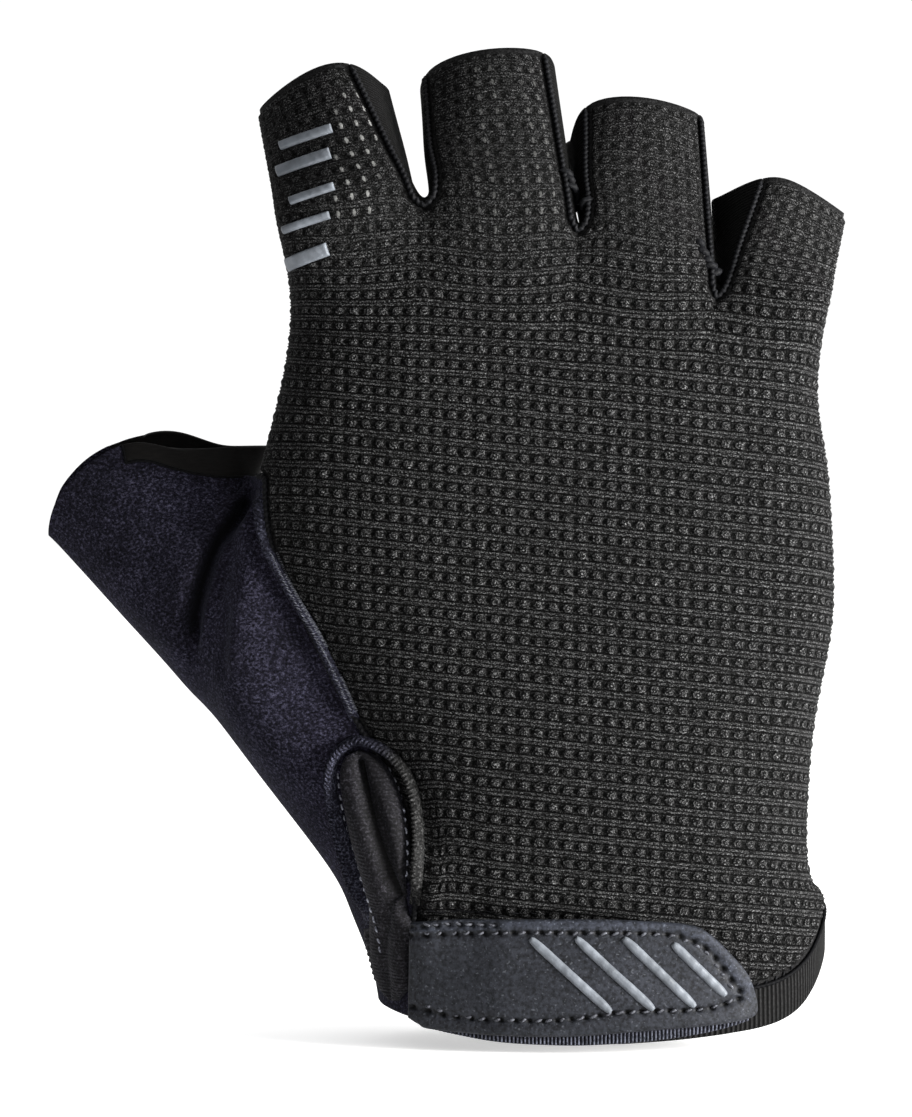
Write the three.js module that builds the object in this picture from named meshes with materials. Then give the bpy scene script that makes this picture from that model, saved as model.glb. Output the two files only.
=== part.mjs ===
// A short-finger sport glove for the right hand, as worn: an open fabric shell with four
// finger stubs, a thumb sleeve and a strap closure at the wrist.
// Millimetres. +Z runs from the wrist to the fingertips, -Y is the back of the hand and
// +X the little-finger side. The origin is the middle of the wrist opening.
import * as THREE from "three";

// Cloth thicknesses.
const KNIT_WALL = 1.2;
const SUEDE_WALL = 1.3;
const FOURCHETTE_WALL = 1.1;
const HEM_WALL = 1.9;
const BINDING_WALL = 1.1;
// Half of the gap that neighbouring panels keep at a seam.
const SEAM_INSET = 0.2;
const NORMAL_ROUNDS = 5;

// The hand's cross-sections from the wrist to the knuckles. left is the silhouette on the
// thumb side, seam the edge of the knit back, right the little-finger side, back and palm
// the reach in Y, square how boxy the section is (2 is an ellipse) and slope how far the
// section falls from the thumb side to the little-finger side.
// Columns: name, z, left, seam, right, back, palm, square, slope.
const HAND_SECTIONS = [
  ["hem_top", 5.4, -39.2, -32.0, 38.2, -20.6, 21.5, 2.3, 0],
  ["wrist", 13.5, -42.8, -31.4, 37.4, -20.4, 21.4, 2.3, 0],
  ["wrist_top", 23.0, -46.9, -31.8, 35.3, -19.8, 21.6, 2.3, 0],
  ["heel", 36.6, -40.0, -34.2, 35.4, -19.2, 21.5, 2.4, 0],
  ["lower_palm", 49.8, -46.4, -42.2, 36.8, -18.8, 20.5, 2.4, 0],
  ["mid_palm", 62.7, -52.4, -48.6, 39.2, -18.6, 18.5, 2.5, 0],
  ["upper_palm", 75.4, -57.4, -55.0, 39.4, -18.4, 16.5, 2.5, 0],
  ["crotch", 88.2, -57.7, -56.5, 38.6, -18.0, 14.8, 2.6, 0],
  ["below_knuckles", 102.0, -54.4, -51.6, 37.5, -17.8, 13.6, 2.7, 6.5],
  ["knuckles", 117.0, -52.3, -49.4, 36.7, -17.0, 12.6, 2.8, 12.5],
].map(([name, z, left, seam, right, back, palm, square, slope]) => (
  { name, z, left, seam, right, back, palm, square, slope }
));
const WRIST_TOP = 2;
const CROTCH = 7;

// How far across the knit back each finger's left edge, middle and right edge lie.
const BACK_SHARES = [0, 0.088, 0.205, 0.255, 0.382, 0.505, 0.542, 0.66, 0.77, 0.805, 0.905, 1];

// The wrist edge dips at the back of the hand and rises towards the little finger.
const WRIST_EDGE = { left: -37.8, lowest: -4.9, leftRise: 5.2, rightRise: 14.4, palm: 3.5 };
// How suddenly it rises on either side, as powers of the place across. On the right the
// share called corner rises by its own steep power, which squares the low corner there.
const WRIST_BEND = { left: 2.4, right: 1.6, corner: 0.72, cornerBend: 12 };
const HEM_HEIGHT = 6.6;
// How far the ring above the hem follows the hem's rise.
const WRIST_FOLLOW = 0.35;

// The fingers. webLeft and webRight are the heights of the webs beside the base, tipX, tipY
// and tipZ the middle of the open end, tilt the lean in the plane of the hand, roll the turn
// about the finger's own axis and curl the bend towards the palm. seamLeft and seamRight
// are where the knit back ends, from the middle of the back. Angles are in degrees.
// dropLeft and dropRight are how far the open end dips on the finger's sides.
const FINGERS = [
  { name: "index", baseX: -42.2, webLeft: 129.5, webRight: 135.8, baseWide: 22.8, baseDeep: 26.0,
    tipX: -47.2, tipY: 8.2, tipZ: 153.4, wide: 21.8, deep: 19.5, tilt: -14, roll: -16, curl: 27,
    seamLeft: -57, seamRight: 45, dropLeft: -1.6, dropRight: 1.2 },
  { name: "middle", baseX: -16.6, webLeft: 135.8, webRight: 131.6, baseWide: 24.6, baseDeep: 27.0,
    tipX: -19.0, tipY: 9.6, tipZ: 157.2, wide: 23.2, deep: 20.0, tilt: -9, roll: -4, curl: 25,
    seamLeft: -57, seamRight: 60, dropLeft: 2.6, dropRight: 1.0 },
  { name: "ring", baseX: 7.8, webLeft: 131.6, webRight: 120.0, baseWide: 22.8, baseDeep: 26.0,
    tipX: 6.2, tipY: 9.4, tipZ: 148.9, wide: 23.2, deep: 20.0, tilt: -3, roll: 13, curl: 25,
    seamLeft: -55, seamRight: 57, dropLeft: 3.6, dropRight: -1.0 },
  { name: "little", baseX: 28.6, webLeft: 120.0, webRight: 117.0, baseWide: 17.8, baseDeep: 24.0,
    tipX: 31.0, tipY: 7.8, tipZ: 134.9, wide: 22.4, deep: 18.4, tilt: 7, roll: 22, curl: 24,
    seamLeft: -38, seamRight: 57, dropLeft: 1.2, dropRight: -2.4 },
];
const FINGER_BASE_Y = -2.6;
const FINGER_STEPS = 3;
const WEB_DIP = 1.0;
// The section of a finger's base as shares of its width and depth, and where the same spots
// lie on its open end when no seam is given, as angles from the middle of its back.
const FINGER_SPOTS = [
  { name: "seamLeft", across: -0.465, deep: -0.41, angle: -57 },
  { name: "back", across: 0, deep: -0.5, angle: 0 },
  { name: "seamRight", across: 0.465, deep: -0.41, angle: 57 },
  { name: "rightSide", across: 0.5, deep: -0.06, angle: 92 },
  { name: "palmRight", across: 0.455, deep: 0.3, angle: 126 },
  { name: "palm", across: 0, deep: 0.5, angle: 180 },
  { name: "palmLeft", across: -0.455, deep: 0.3, angle: -126 },
  { name: "leftSide", across: -0.5, deep: -0.06, angle: -92 },
];

// The thumb sleeve fans out round the crotch. Each station runs from its crotch point to
// its outer point; middleY and half give its middle and half thickness in Y, and dent
// pushes the cloth of the back inwards where the web of the thumb folds.
const THUMB_STATIONS = [
  { name: "root", crotch: [-57.9, 87.6], outer: [-57.1, 37.0], middleY: 4.0, half: 14.0, dent: 0 },
  { name: "fold_lip", crotch: [-58.3, 88.1], outer: [-65.4, 47.4], middleY: 6.0, half: 13.4, dent: -0.5 },
  { name: "fold", crotch: [-58.8, 88.5], outer: [-69.8, 52.0], middleY: 7.0, half: 12.8, dent: 2.6 },
  { name: "fold_end", crotch: [-59.2, 88.9], outer: [-74.3, 57.0], middleY: 7.8, half: 12.2, dent: 0 },
  { name: "thumb", crotch: [-59.0, 89.2], outer: [-82.0, 65.4], middleY: 9.4, half: 11.0, dent: 0 },
];
const THUMB_SHARES = [0.1, 0.27, 0.45, 0.63, 0.79, 0.92];
// The thumb's open end and the line where its binding is sewn on, from the crotch round to
// the outer corner: x and z of the near (back) and far (palm) edge.
const THUMB_EDGE = {
  crotch: [-56.3, 94.0], outer: [-94.7, 78.6], middleY: 12.6, half: 8.6,
  near: [[-59.6, 94.0], [-62.8, 94.0], [-67.4, 93.6], [-74.2, 93.8], [-82.2, 93.0], [-92.4, 86.0]],
  far: [[-60.7, 94.2], [-65.9, 94.7], [-72.2, 96.8], [-78.4, 96.6], [-85.2, 93.2], [-93.0, 86.6]],
};
const THUMB_BAND = {
  crotch: [-58.0, 89.4], outer: [-91.4, 75.2], middleY: 11.8, half: 9.6,
  near: [[-59.5, 89.0], [-62.6, 88.8], [-67.0, 89.2], [-73.6, 90.8], [-80.6, 91.6], [-89.2, 83.8]],
  far: [[-60.4, 89.6], [-65.2, 90.0], [-71.2, 91.8], [-77.6, 92.6], [-83.6, 91.6], [-90.0, 84.2]],
};
const BAND_COLUMNS = 5;

// Pieces that lie on the back of the glove are drawn in the front view: points are [x, z].
// lift is the clearance from the shell, height how far the outer face stands above that.
const STRAP = {
  top: [[-30.6, 15.2], [-23.7, 15.6], [-16.8, 15.6], [-1.7, 15.6], [7.4, 15.2], [13.4, 14.6],
    [16.5, 13.3], [19.8, 10.1], [22.9, 6.0], [24.0, 1.9]],
  bottom: [[-30.6, -0.8], [-29.0, -1.9], [-27.0, -2.7], [-15.9, -3.5], [-4.7, -3.5], [8.3, -2.5],
    [15.7, -2.0], [20.9, -1.4], [23.5, -0.7], [24.2, 0.5]],
  lift: 1.8, height: 1.3,
};
const STRAP_BACKING = {
  top: [[-30.4, 12.4], [-22.1, 12.9], [-9.0, 12.9], [5.8, 12.6], [12.4, 11.8], [16.5, 9.8],
    [20.0, 5.6], [22.4, 1.6]],
  bottom: [[-30.4, -1.2], [-28.3, -2.7], [-22.1, -4.0], [-15.9, -4.8], [-9.0, -5.1], [-2.7, -5.1],
    [5.8, -4.6], [13.4, -3.7], [18.9, -2.7], [23.6, -1.4]],
  lift: 0.5, height: 0.9,
};
const STRAP_STRIPES = [
  { name: "strap_stripe_1", from: [-12.0, 12.6], to: [1.0, 0.6] },
  { name: "strap_stripe_2", from: [-4.7, 12.7], to: [7.7, 0.9] },
  { name: "strap_stripe_3", from: [2.9, 12.6], to: [14.3, 1.3] },
  { name: "strap_stripe_4", from: [10.7, 11.6], to: [19.2, 3.0] },
];
const STRIPE = { width: 1.5, lift: 3.4, height: 0.4, rows: 10, taper: 0.14 };
const FINGER_BARS = [
  { name: "finger_bar_1", from: [-53.9, 144.4], to: [-45.2, 147.0], width: 1.5 },
  { name: "finger_bar_2", from: [-54.3, 139.9], to: [-45.4, 142.6], width: 1.9 },
  { name: "finger_bar_3", from: [-51.9, 134.4], to: [-44.6, 136.7], width: 1.4 },
  { name: "finger_bar_4", from: [-53.0, 129.5], to: [-45.3, 131.8], width: 1.3 },
  { name: "finger_bar_5", from: [-52.4, 123.9], to: [-45.6, 126.2], width: 2.2 },
];
const BAR = { lift: 0.35, height: 0.4, rows: 6, taper: 0 };
// The seam roll between the thumb suede and the knit back, from the crotch to the vent.
const SEAM_ROLL = {
  path: [[-57.4, 85.4], [-56.9, 80.6], [-55.8, 76.4], [-53.8, 72.4], [-51.4, 68.2], [-48.6, 63.9],
    [-46.6, 59.8], [-44.6, 55.6], [-42.8, 51.8], [-41.2, 47.9]],
  width: 1.7, lift: 0.35, height: 1.2,
};
// The vent beside the wrist: a rolled edge open at its foot, and the folded gusset in it.
const VENT_EDGE = {
  path: [[-39.6, 17.9], [-41.3, 22.6], [-42.7, 27.2], [-44.0, 31.9], [-45.0, 36.4], [-45.1, 40.2],
    [-43.3, 43.2], [-40.7, 44.5], [-37.7, 43.7], [-35.0, 42.0], [-33.0, 39.8], [-31.7, 37.2],
    [-30.9, 33.8], [-30.5, 29.4], [-30.5, 25.0], [-30.8, 20.6], [-31.2, 17.6]],
  width: 1.8, lift: 0.35, height: 1.7,
};
const GUSSET = {
  left: [[-40.6, 42.9], [-42.6, 41.7], [-43.3, 39.2], [-42.9, 36.0], [-41.6, 31.0], [-40.1, 26.2],
    [-38.6, 21.6], [-37.6, 17.2], [-37.6, 12.2], [-37.3, 7.6], [-36.2, 3.6], [-34.4, 1.3]],
  right: [[-40.0, 42.9], [-37.4, 41.9], [-35.2, 39.4], [-33.5, 35.4], [-32.5, 30.9], [-32.2, 26.0],
    [-32.4, 21.2], [-32.3, 17.2], [-31.2, 14.0], [-31.1, 9.0], [-31.3, 4.6], [-33.4, 1.3]],
  lift: 0.4, base: 0.7,
  // Where the fold runs between the lobes, as a share of the width, and each lobe's height.
  fold: [0.5, 0.52, 0.56, 0.62, 0.7, 0.8, 0.9, 0.72, 0.5, 0.5, 0.5, 0.5],
  leftLobe: [0.0, 0.8, 1.6, 2.2, 2.5, 2.6, 2.4, 1.6, 1.3, 1.3, 1.1, 0.3],
  rightLobe: [0.0, 0.7, 1.4, 1.8, 1.7, 1.2, 0.6, 1.4, 1.7, 1.7, 1.4, 0.3],
};

// A cage is a list of vertices [x, y, z] and quads with the name of their panel.
const cage = { vertices: [], quads: [] };

function addVertex(x, y, z) {
  cage.vertices.push([x, y, z]);
  return cage.vertices.length - 1;
}

function addQuad(a, b, c, d, panel) {
  cage.quads.push({ corners: [a, b, c, d], panel });
}

const radians = THREE.MathUtils.degToRad;
const lerp = THREE.MathUtils.lerp;

// The height of the wrist edge at a place across the hand, from -1 at the thumb side to 1.
function wristEdgeHeight(across, isBack) {
  const rise = across < 0 ? WRIST_EDGE.leftRise : WRIST_EDGE.rightRise;
  const far = Math.abs(across);
  const rightBend = lerp(far ** WRIST_BEND.right, far ** WRIST_BEND.cornerBend, WRIST_BEND.corner);
  const back = WRIST_EDGE.lowest + rise * (across < 0 ? far ** WRIST_BEND.left : rightBend);
  const sideHeight = WRIST_EDGE.lowest + rise;
  const palm = lerp(WRIST_EDGE.palm, sideHeight, Math.abs(across) ** 2);
  return isBack ? back : palm;
}

// One closed ring of the palm: twelve vertices along the back, the little-finger side,
// twelve along the palm and the thumb side. heightAt gives each vertex its height.
function handRing(section, heightAt, hasThumbSide) {
  const middleX = (section.left + section.right) / 2;
  const half = (section.right - section.left) / 2;
  const middleY = (section.back + section.palm) / 2;
  const halfDeep = (section.palm - section.back) / 2;
  const rightEdge = section.right - 0.045 * (section.right - section.seam);
  const place = (x, side) => {
    const across = (x - middleX) / half;
    const rise = (1 - Math.min(1, Math.abs(across)) ** section.square) ** (1 / section.square);
    return addVertex(x, middleY + side * halfDeep * rise, heightAt(across, side < 0));
  };
  const columns = BACK_SHARES.map((share) => lerp(section.seam, rightEdge, share));
  const back = columns.map((x) => place(x, -1));
  const right = addVertex(section.right, middleY, heightAt(1, true));
  const palm = columns.map((x) => place(x, 1)).reverse();
  const left = hasThumbSide ? addVertex(section.left, middleY, heightAt(-1, true)) : null;
  return { back, right, palm, left, all: [...back, right, ...palm, left] };
}

// The panel of each face round the hand, for the rows of the hem, of the sleeve below the
// thumb, beside the thumb, and above it.
function handPanel(column, row) {
  const isThumbSide = column >= 24;
  if (row === 0 && !isThumbSide) return "wrist_hem";
  if (column <= 12) return "back_panel";
  if (!isThumbSide) return "palm_panel";
  return row > CROTCH ? "back_panel" : "thumb_panel";
}

function buildHand() {
  const edge = handRing({ ...HAND_SECTIONS[0], left: WRIST_EDGE.left }, wristEdgeHeight, true);
  const rings = [edge];
  HAND_SECTIONS.forEach((section, index) => {
    const heightAt = (across, isBack) => {
      if (index === 0) return wristEdgeHeight(across, isBack) + HEM_HEIGHT;
      const lag = index === 1 ? WRIST_FOLLOW * (wristEdgeHeight(across, isBack) - WRIST_EDGE.lowest) : 0;
      return section.z + lag - (section.slope * (across + 1)) / 2;
    };
    rings.push(handRing(section, heightAt, index <= WRIST_TOP || index >= CROTCH));
  });
  for (let row = 0; row + 1 < rings.length; row += 1) {
    joinRings(rings[row].all, rings[row + 1].all, (column) => handPanel(column, row));
  }
  return rings;
}

// Quads between two rings, leaving out those whose vertices aren't there.
function joinRings(lower, upper, panelOf) {
  const count = lower.length;
  for (let k = 0; k < count; k += 1) {
    const next = (k + 1) % count;
    const corners = [lower[k], lower[next], upper[next], upper[k]];
    if (corners.every((corner) => corner !== null)) addQuad(...corners, panelOf(k));
  }
}

// A point on a finger's section at an angle round it, before it is placed.
function fingerPoint(angle, wide, deep, square = 2.5) {
  const sine = Math.sin(radians(angle));
  const cosine = Math.cos(radians(angle));
  const reach = (Math.abs(sine) ** square + Math.abs(cosine) ** square) ** (-1 / square);
  return [(wide / 2) * reach * sine, (-deep / 2) * reach * cosine];
}

// The eight vertices of a finger's base, one for each spot. The sides dip to form the webs.
function fingerBase(finger) {
  return FINGER_SPOTS.map((spot) => {
    const x = finger.baseX + spot.across * finger.baseWide;
    const y = FINGER_BASE_Y + spot.deep * finger.baseDeep;
    const dip = spot.name.endsWith("Side") ? WEB_DIP : 0;
    return addVertex(x, y, lerp(finger.webLeft, finger.webRight, spot.across + 0.5) - dip);
  });
}

// A ring of a finger between its base and its open end.
function fingerRing(finger, base, share) {
  const frame = new THREE.Matrix4()
    .makeRotationY(radians(finger.tilt))
    .multiply(new THREE.Matrix4().makeRotationX(radians(-finger.curl)))
    .multiply(new THREE.Matrix4().makeRotationZ(radians(finger.roll)));
  return FINGER_SPOTS.map((spot, k) => {
    const [across, deep] = fingerPoint(finger[spot.name] ?? spot.angle, finger.wide, finger.deep);
    const drops = { leftSide: finger.dropLeft, rightSide: finger.dropRight };
    const tip = new THREE.Vector3(across, deep, -(drops[spot.name] ?? 0)).applyMatrix4(frame);
    tip.add(new THREE.Vector3(finger.tipX, finger.tipY, finger.tipZ));
    const start = new THREE.Vector3(...cage.vertices[base[k]]);
    const point = start.lerp(tip, share);
    return addVertex(point.x, point.y, point.z);
  });
}

function fingerPanel(index, column) {
  const outerLeft = index === 0;
  const outerRight = index === FINGERS.length - 1;
  if (column <= 1) return "back_panel";
  if (column <= 3) return outerRight ? "back_panel" : FOURCHETTES[index];
  if (column <= 5) return "palm_panel";
  return outerLeft ? "back_panel" : FOURCHETTES[index - 1];
}

const FOURCHETTES = ["fourchette_index_middle", "fourchette_middle_ring", "fourchette_ring_little"];

function buildFingers(knuckles) {
  const bases = FINGERS.map(fingerBase);
  const [LEFT, BACK, RIGHT, RIGHT_SIDE, PALM_RIGHT, PALM, PALM_LEFT, LEFT_SIDE] = [0, 1, 2, 3, 4, 5, 6, 7];
  const back = bases.flatMap((base) => [base[LEFT], base[BACK], base[RIGHT]]);
  const palm = bases.flatMap((base) => [base[PALM_LEFT], base[PALM], base[PALM_RIGHT]]).reverse();
  const top = [...back, bases.at(-1)[RIGHT_SIDE], ...palm, bases[0][LEFT_SIDE]];
  joinRings(knuckles.all, top, (column) => handPanel(column, CROTCH + 4));
  FOURCHETTES.forEach((panel, k) => {
    const here = bases[k];
    const next = bases[k + 1];
    addQuad(here[RIGHT], next[LEFT], next[LEFT_SIDE], here[RIGHT_SIDE], panel);
    addQuad(here[RIGHT_SIDE], next[LEFT_SIDE], next[PALM_LEFT], here[PALM_RIGHT], panel);
  });
  FINGERS.forEach((finger, index) => {
    let below = bases[index];
    for (let step = 1; step <= FINGER_STEPS; step += 1) {
      const ring = fingerRing(finger, bases[index], step / FINGER_STEPS);
      joinRings(below, ring, (column) => fingerPanel(index, column));
      below = ring;
    }
  });
}

// A thumb ring from its crotch vertex down the palm side, round the outer vertex and up
// the back. near and far are the points of each side, from the crotch outwards.
function thumbRing(station, near, far) {
  const count = near.length;
  const bulge = (j) => Math.sin(Math.PI * ((j + 1) / (count + 1))) ** 0.6;
  const backY = (j) => station.middleY - station.half * bulge(j) + (station.dent ?? 0) * bulge(j);
  const palmY = (j) => station.middleY + station.half * bulge(j);
  const crotch = addVertex(station.crotch[0], station.middleY - 1, station.crotch[1]);
  const palm = far.map(([x, z], j) => addVertex(x, palmY(j), z));
  const outer = addVertex(station.outer[0], station.middleY, station.outer[1]);
  const back = near.map(([x, z], j) => addVertex(x, backY(j), z)).reverse();
  return [crotch, ...palm, outer, ...back];
}

function buildThumb(rings) {
  const rows = [];
  for (let row = CROTCH; row >= WRIST_TOP; row -= 1) rows.push(rings[row + 1]);
  const palm = rows.map((ring) => ring.palm.at(-1));
  const back = rows.map((ring) => ring.back[0]).reverse();
  let inner = [rows[0].left, ...palm, rows.at(-1).left, ...back];
  const stations = THUMB_STATIONS.map((station) => {
    const pointAt = (share) => [0, 1].map((k) => lerp(station.crotch[k], station.outer[k], share));
    const points = THUMB_SHARES.map(pointAt);
    return thumbRing(station, points, points);
  });
  stations.push(thumbRing(THUMB_BAND, THUMB_BAND.near, THUMB_BAND.far));
  stations.forEach((ring) => {
    joinRings(inner, ring, () => "thumb_panel");
    inner = ring;
  });
  const edge = thumbRing(THUMB_EDGE, THUMB_EDGE.near, THUMB_EDGE.far);
  const isBand = (column) => column < BAND_COLUMNS || column >= edge.length - BAND_COLUMNS;
  joinRings(inner, edge, (column) => (isBand(column) ? "thumb_binding" : "thumb_panel"));
}

const edgeKey = (a, b) => (a < b ? `${a}_${b}` : `${b}_${a}`);
const addTo = (sum, point, weight = 1) => point.forEach((value, k) => { sum[k] += value * weight; });
const mean = (points) => {
  const sum = points[0].map(() => 0);
  points.forEach((point) => addTo(sum, point, 1 / points.length));
  return sum;
};

// One step of Catmull-Clark subdivision. The first vertices of the result are those of the
// mesh it came from, in the same order.
function subdivide(mesh) {
  const faceCentres = mesh.quads.map((quad) => mean(quad.corners.map((corner) => mesh.vertices[corner])));
  const edges = new Map();
  mesh.quads.forEach((quad, face) => {
    quad.corners.forEach((corner, k) => {
      const next = quad.corners[(k + 1) % 4];
      const key = edgeKey(corner, next);
      if (!edges.has(key)) edges.set(key, { ends: [corner, next], faces: [] });
      edges.get(key).faces.push(face);
    });
  });
  const around = mesh.vertices.map(() => ({ faces: [], middles: [], rim: [] }));
  mesh.quads.forEach((quad, face) => {
    quad.corners.forEach((corner) => around[corner].faces.push(faceCentres[face]));
  });
  edges.forEach((edge) => {
    edge.middle = mean(edge.ends.map((end) => mesh.vertices[end]));
    edge.ends.forEach((end) => {
      around[end].middles.push(edge.middle);
      if (edge.faces.length === 1) around[end].rim.push(edge.middle);
    });
  });
  const vertices = mesh.vertices.map((vertex, index) => {
    const { faces, middles, rim } = around[index];
    if (rim.length) return vertex.map((value, k) => 0.5 * value + 0.25 * (rim[0][k] + rim[1][k]));
    const valence = faces.length;
    const faceMean = mean(faces);
    const middleMean = mean(middles);
    return vertex.map((value, k) => (faceMean[k] + 2 * middleMean[k] + (valence - 3) * value) / valence);
  });
  faceCentres.forEach((centre) => vertices.push(centre));
  edges.forEach((edge) => {
    edge.index = vertices.length;
    const isRim = edge.faces.length === 1;
    const beside = mean(edge.faces.map((face) => faceCentres[face]));
    vertices.push(isRim ? edge.middle : mean([edge.middle, beside]));
  });
  const quads = [];
  mesh.quads.forEach((quad, face) => {
    const edgeAt = (k) => edges.get(edgeKey(quad.corners[k], quad.corners[(k + 1) % 4])).index;
    quad.corners.forEach((corner, k) => {
      quads.push({
        corners: [corner, edgeAt(k), mesh.vertices.length + face, edgeAt((k + 3) % 4)],
        panel: quad.panel,
      });
    });
  });
  return { vertices, quads };
}

// Moves the cage's vertices until the smooth surface passes through where they were.
function fitThroughCage(mesh, rounds = 6) {
  const targets = mesh.vertices.map((vertex) => [...vertex]);
  for (let round = 0; round < rounds; round += 1) {
    const fine = subdivide(subdivide(mesh));
    mesh.vertices.forEach((vertex, index) => {
      vertex.forEach((_, k) => { vertex[k] += targets[index][k] - fine.vertices[index][k]; });
    });
  }
  return mesh;
}

function vertexNormals(mesh) {
  const normals = mesh.vertices.map(() => new THREE.Vector3());
  mesh.quads.forEach(({ corners }) => {
    const [a, b, c, d] = corners.map((corner) => new THREE.Vector3(...mesh.vertices[corner]));
    const normal = c.sub(a).cross(d.sub(b));
    corners.forEach((corner) => normals[corner].add(normal));
  });
  return normals.map((normal) => normal.normalize());
}

// Evens out normals with those of their neighbours, so that a wall doesn't fold over at a
// tight crease.
function evenNormals(mesh, normals, rounds) {
  let current = normals;
  for (let round = 0; round < rounds; round += 1) {
    const sums = current.map((normal) => normal.clone());
    mesh.quads.forEach(({ corners }) => corners.forEach((corner, k) => {
      sums[corner].addScaledVector(current[corners[(k + 1) % 4]], 0.5);
      sums[corners[(k + 1) % 4]].addScaledVector(current[corner], 0.5);
    }));
    current = sums.map((sum) => sum.normalize());
  }
  return current;
}

// The two triangles of a quad, cut along its shorter diagonal.
function splitQuad([a, b, c, d], placeOf) {
  const distance = (p, q) => Math.hypot(...placeOf(p).map((value, k) => value - placeOf(q)[k]));
  return distance(a, c) <= distance(b, d) ? [[a, b, c], [a, c, d]] : [[a, b, d], [b, c, d]];
}

// A panel of the shell as a closed solid: its outer faces, the same faces a wall further
// in, and the cut edge between them, drawn in a little from the seam.
function panelGeometry(mesh, normals, panel, wall) {
  const quads = mesh.quads.filter((quad) => quad.panel === panel);
  const edges = new Map();
  quads.forEach(({ corners }) => corners.forEach((corner, k) => {
    const next = corners[(k + 1) % 4];
    const key = edgeKey(corner, next);
    edges.set(key, edges.has(key) ? null : [corner, next]);
  }));
  const rim = [...edges.values()].filter(Boolean);
  const inwards = new Map();
  rim.flat().forEach((corner) => inwards.set(corner, new THREE.Vector3()));
  quads.forEach(({ corners }) => {
    const centre = new THREE.Vector3(...mean(corners.map((corner) => mesh.vertices[corner])));
    corners.filter((corner) => inwards.has(corner)).forEach((corner) => {
      inwards.get(corner).add(centre.clone().sub(new THREE.Vector3(...mesh.vertices[corner])));
    });
  });
  const index = new Map();
  const positions = [];
  const placeVertex = (corner, depth) => {
    const key = `${corner}_${depth}`;
    if (!index.has(key)) {
      const point = new THREE.Vector3(...mesh.vertices[corner]).addScaledVector(normals[corner], -depth);
      if (inwards.has(corner)) {
        const way = inwards.get(corner).clone();
        way.addScaledVector(normals[corner], -way.dot(normals[corner])).normalize();
        point.addScaledVector(way, SEAM_INSET);
      }
      index.set(key, positions.length / 3);
      positions.push(point.x, point.y, point.z);
    }
    return index.get(key);
  };
  const triangles = [];
  const placeOf = (corner) => positions.slice(3 * corner, 3 * corner + 3);
  const addFace = (...corners) => triangles.push(...splitQuad(corners, placeOf).flat());
  quads.forEach(({ corners }) => {
    addFace(...corners.map((corner) => placeVertex(corner, 0)));
    addFace(...corners.map((corner) => placeVertex(corner, wall)).reverse());
  });
  rim.forEach(([a, b]) => {
    addFace(placeVertex(a, 0), placeVertex(a, wall), placeVertex(b, wall), placeVertex(b, 0));
  });
  return geometryOf(positions, triangles);
}

function geometryOf(positions, triangles) {
  const geometry = new THREE.BufferGeometry();
  geometry.setAttribute("position", new THREE.Float32BufferAttribute(positions, 3));
  geometry.setIndex(triangles);
  geometry.computeVertexNormals();
  return geometry;
}

// Triangles of the skin that face the front view, and the search for the one at a place.
function frontFaces(mesh) {
  return mesh.quads.flatMap(({ corners }) => splitQuad(corners, (corner) => mesh.vertices[corner]));
}

function skinAt(mesh, normals, faces, x, z) {
  let best = null;
  faces.forEach(([a, b, c]) => {
    const [p, q, r] = [a, b, c].map((corner) => mesh.vertices[corner]);
    const area = (q[0] - p[0]) * (r[2] - p[2]) - (r[0] - p[0]) * (q[2] - p[2]);
    if (area < 1e-9) return;
    const v = ((x - p[0]) * (r[2] - p[2]) - (r[0] - p[0]) * (z - p[2])) / area;
    const w = ((q[0] - p[0]) * (z - p[2]) - (x - p[0]) * (q[2] - p[2])) / area;
    const u = 1 - v - w;
    if (Math.min(u, v, w) < -1e-6) return;
    const y = u * p[1] + v * q[1] + w * r[1];
    if (best && best.point.y <= y) return;
    const normal = new THREE.Vector3().addScaledVector(normals[a], u);
    normal.addScaledVector(normals[b], v).addScaledVector(normals[c], w).normalize();
    best = { point: new THREE.Vector3(x, y, z), normal };
  });
  return best;
}

// The skin at a place in the front view. Beyond the glove's outline the nearest skin
// towards the middle of the hand is carried on.
function skinOrBeyond(mesh, normals, faces, x, z) {
  const towards = [Math.sign(-x) * 0.5, z < 10 ? 0.5 : 0];
  for (let step = 0; step < 30; step += 1) {
    const found = skinAt(mesh, normals, faces, x + towards[0] * step, z + towards[1] * step);
    if (found) return { point: new THREE.Vector3(x, found.point.y, z), normal: found.normal };
  }
  throw new Error(`no skin near ${x}, ${z}`);
}

// A point part of the way along a path, by length.
function alongPath(path, share) {
  const lengths = [0];
  path.slice(1).forEach(([x, z], k) => {
    lengths.push(lengths[k] + Math.hypot(x - path[k][0], z - path[k][1]));
  });
  const target = THREE.MathUtils.clamp(share, 0, 1) * lengths.at(-1);
  const k = Math.min(Math.max(lengths.findIndex((length) => length >= target) - 1, 0), path.length - 2);
  const part = (target - lengths[k]) / (lengths[k + 1] - lengths[k]);
  return path[k].map((value, axis) => lerp(value, path[k + 1][axis], part));
}

// A value from a list spread evenly from 0 to 1.
function listAt(list, share) {
  const place = THREE.MathUtils.clamp(share, 0, 1) * (list.length - 1);
  const k = Math.min(Math.floor(place), list.length - 2);
  return lerp(list[k], list[k + 1], place - k);
}

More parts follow.
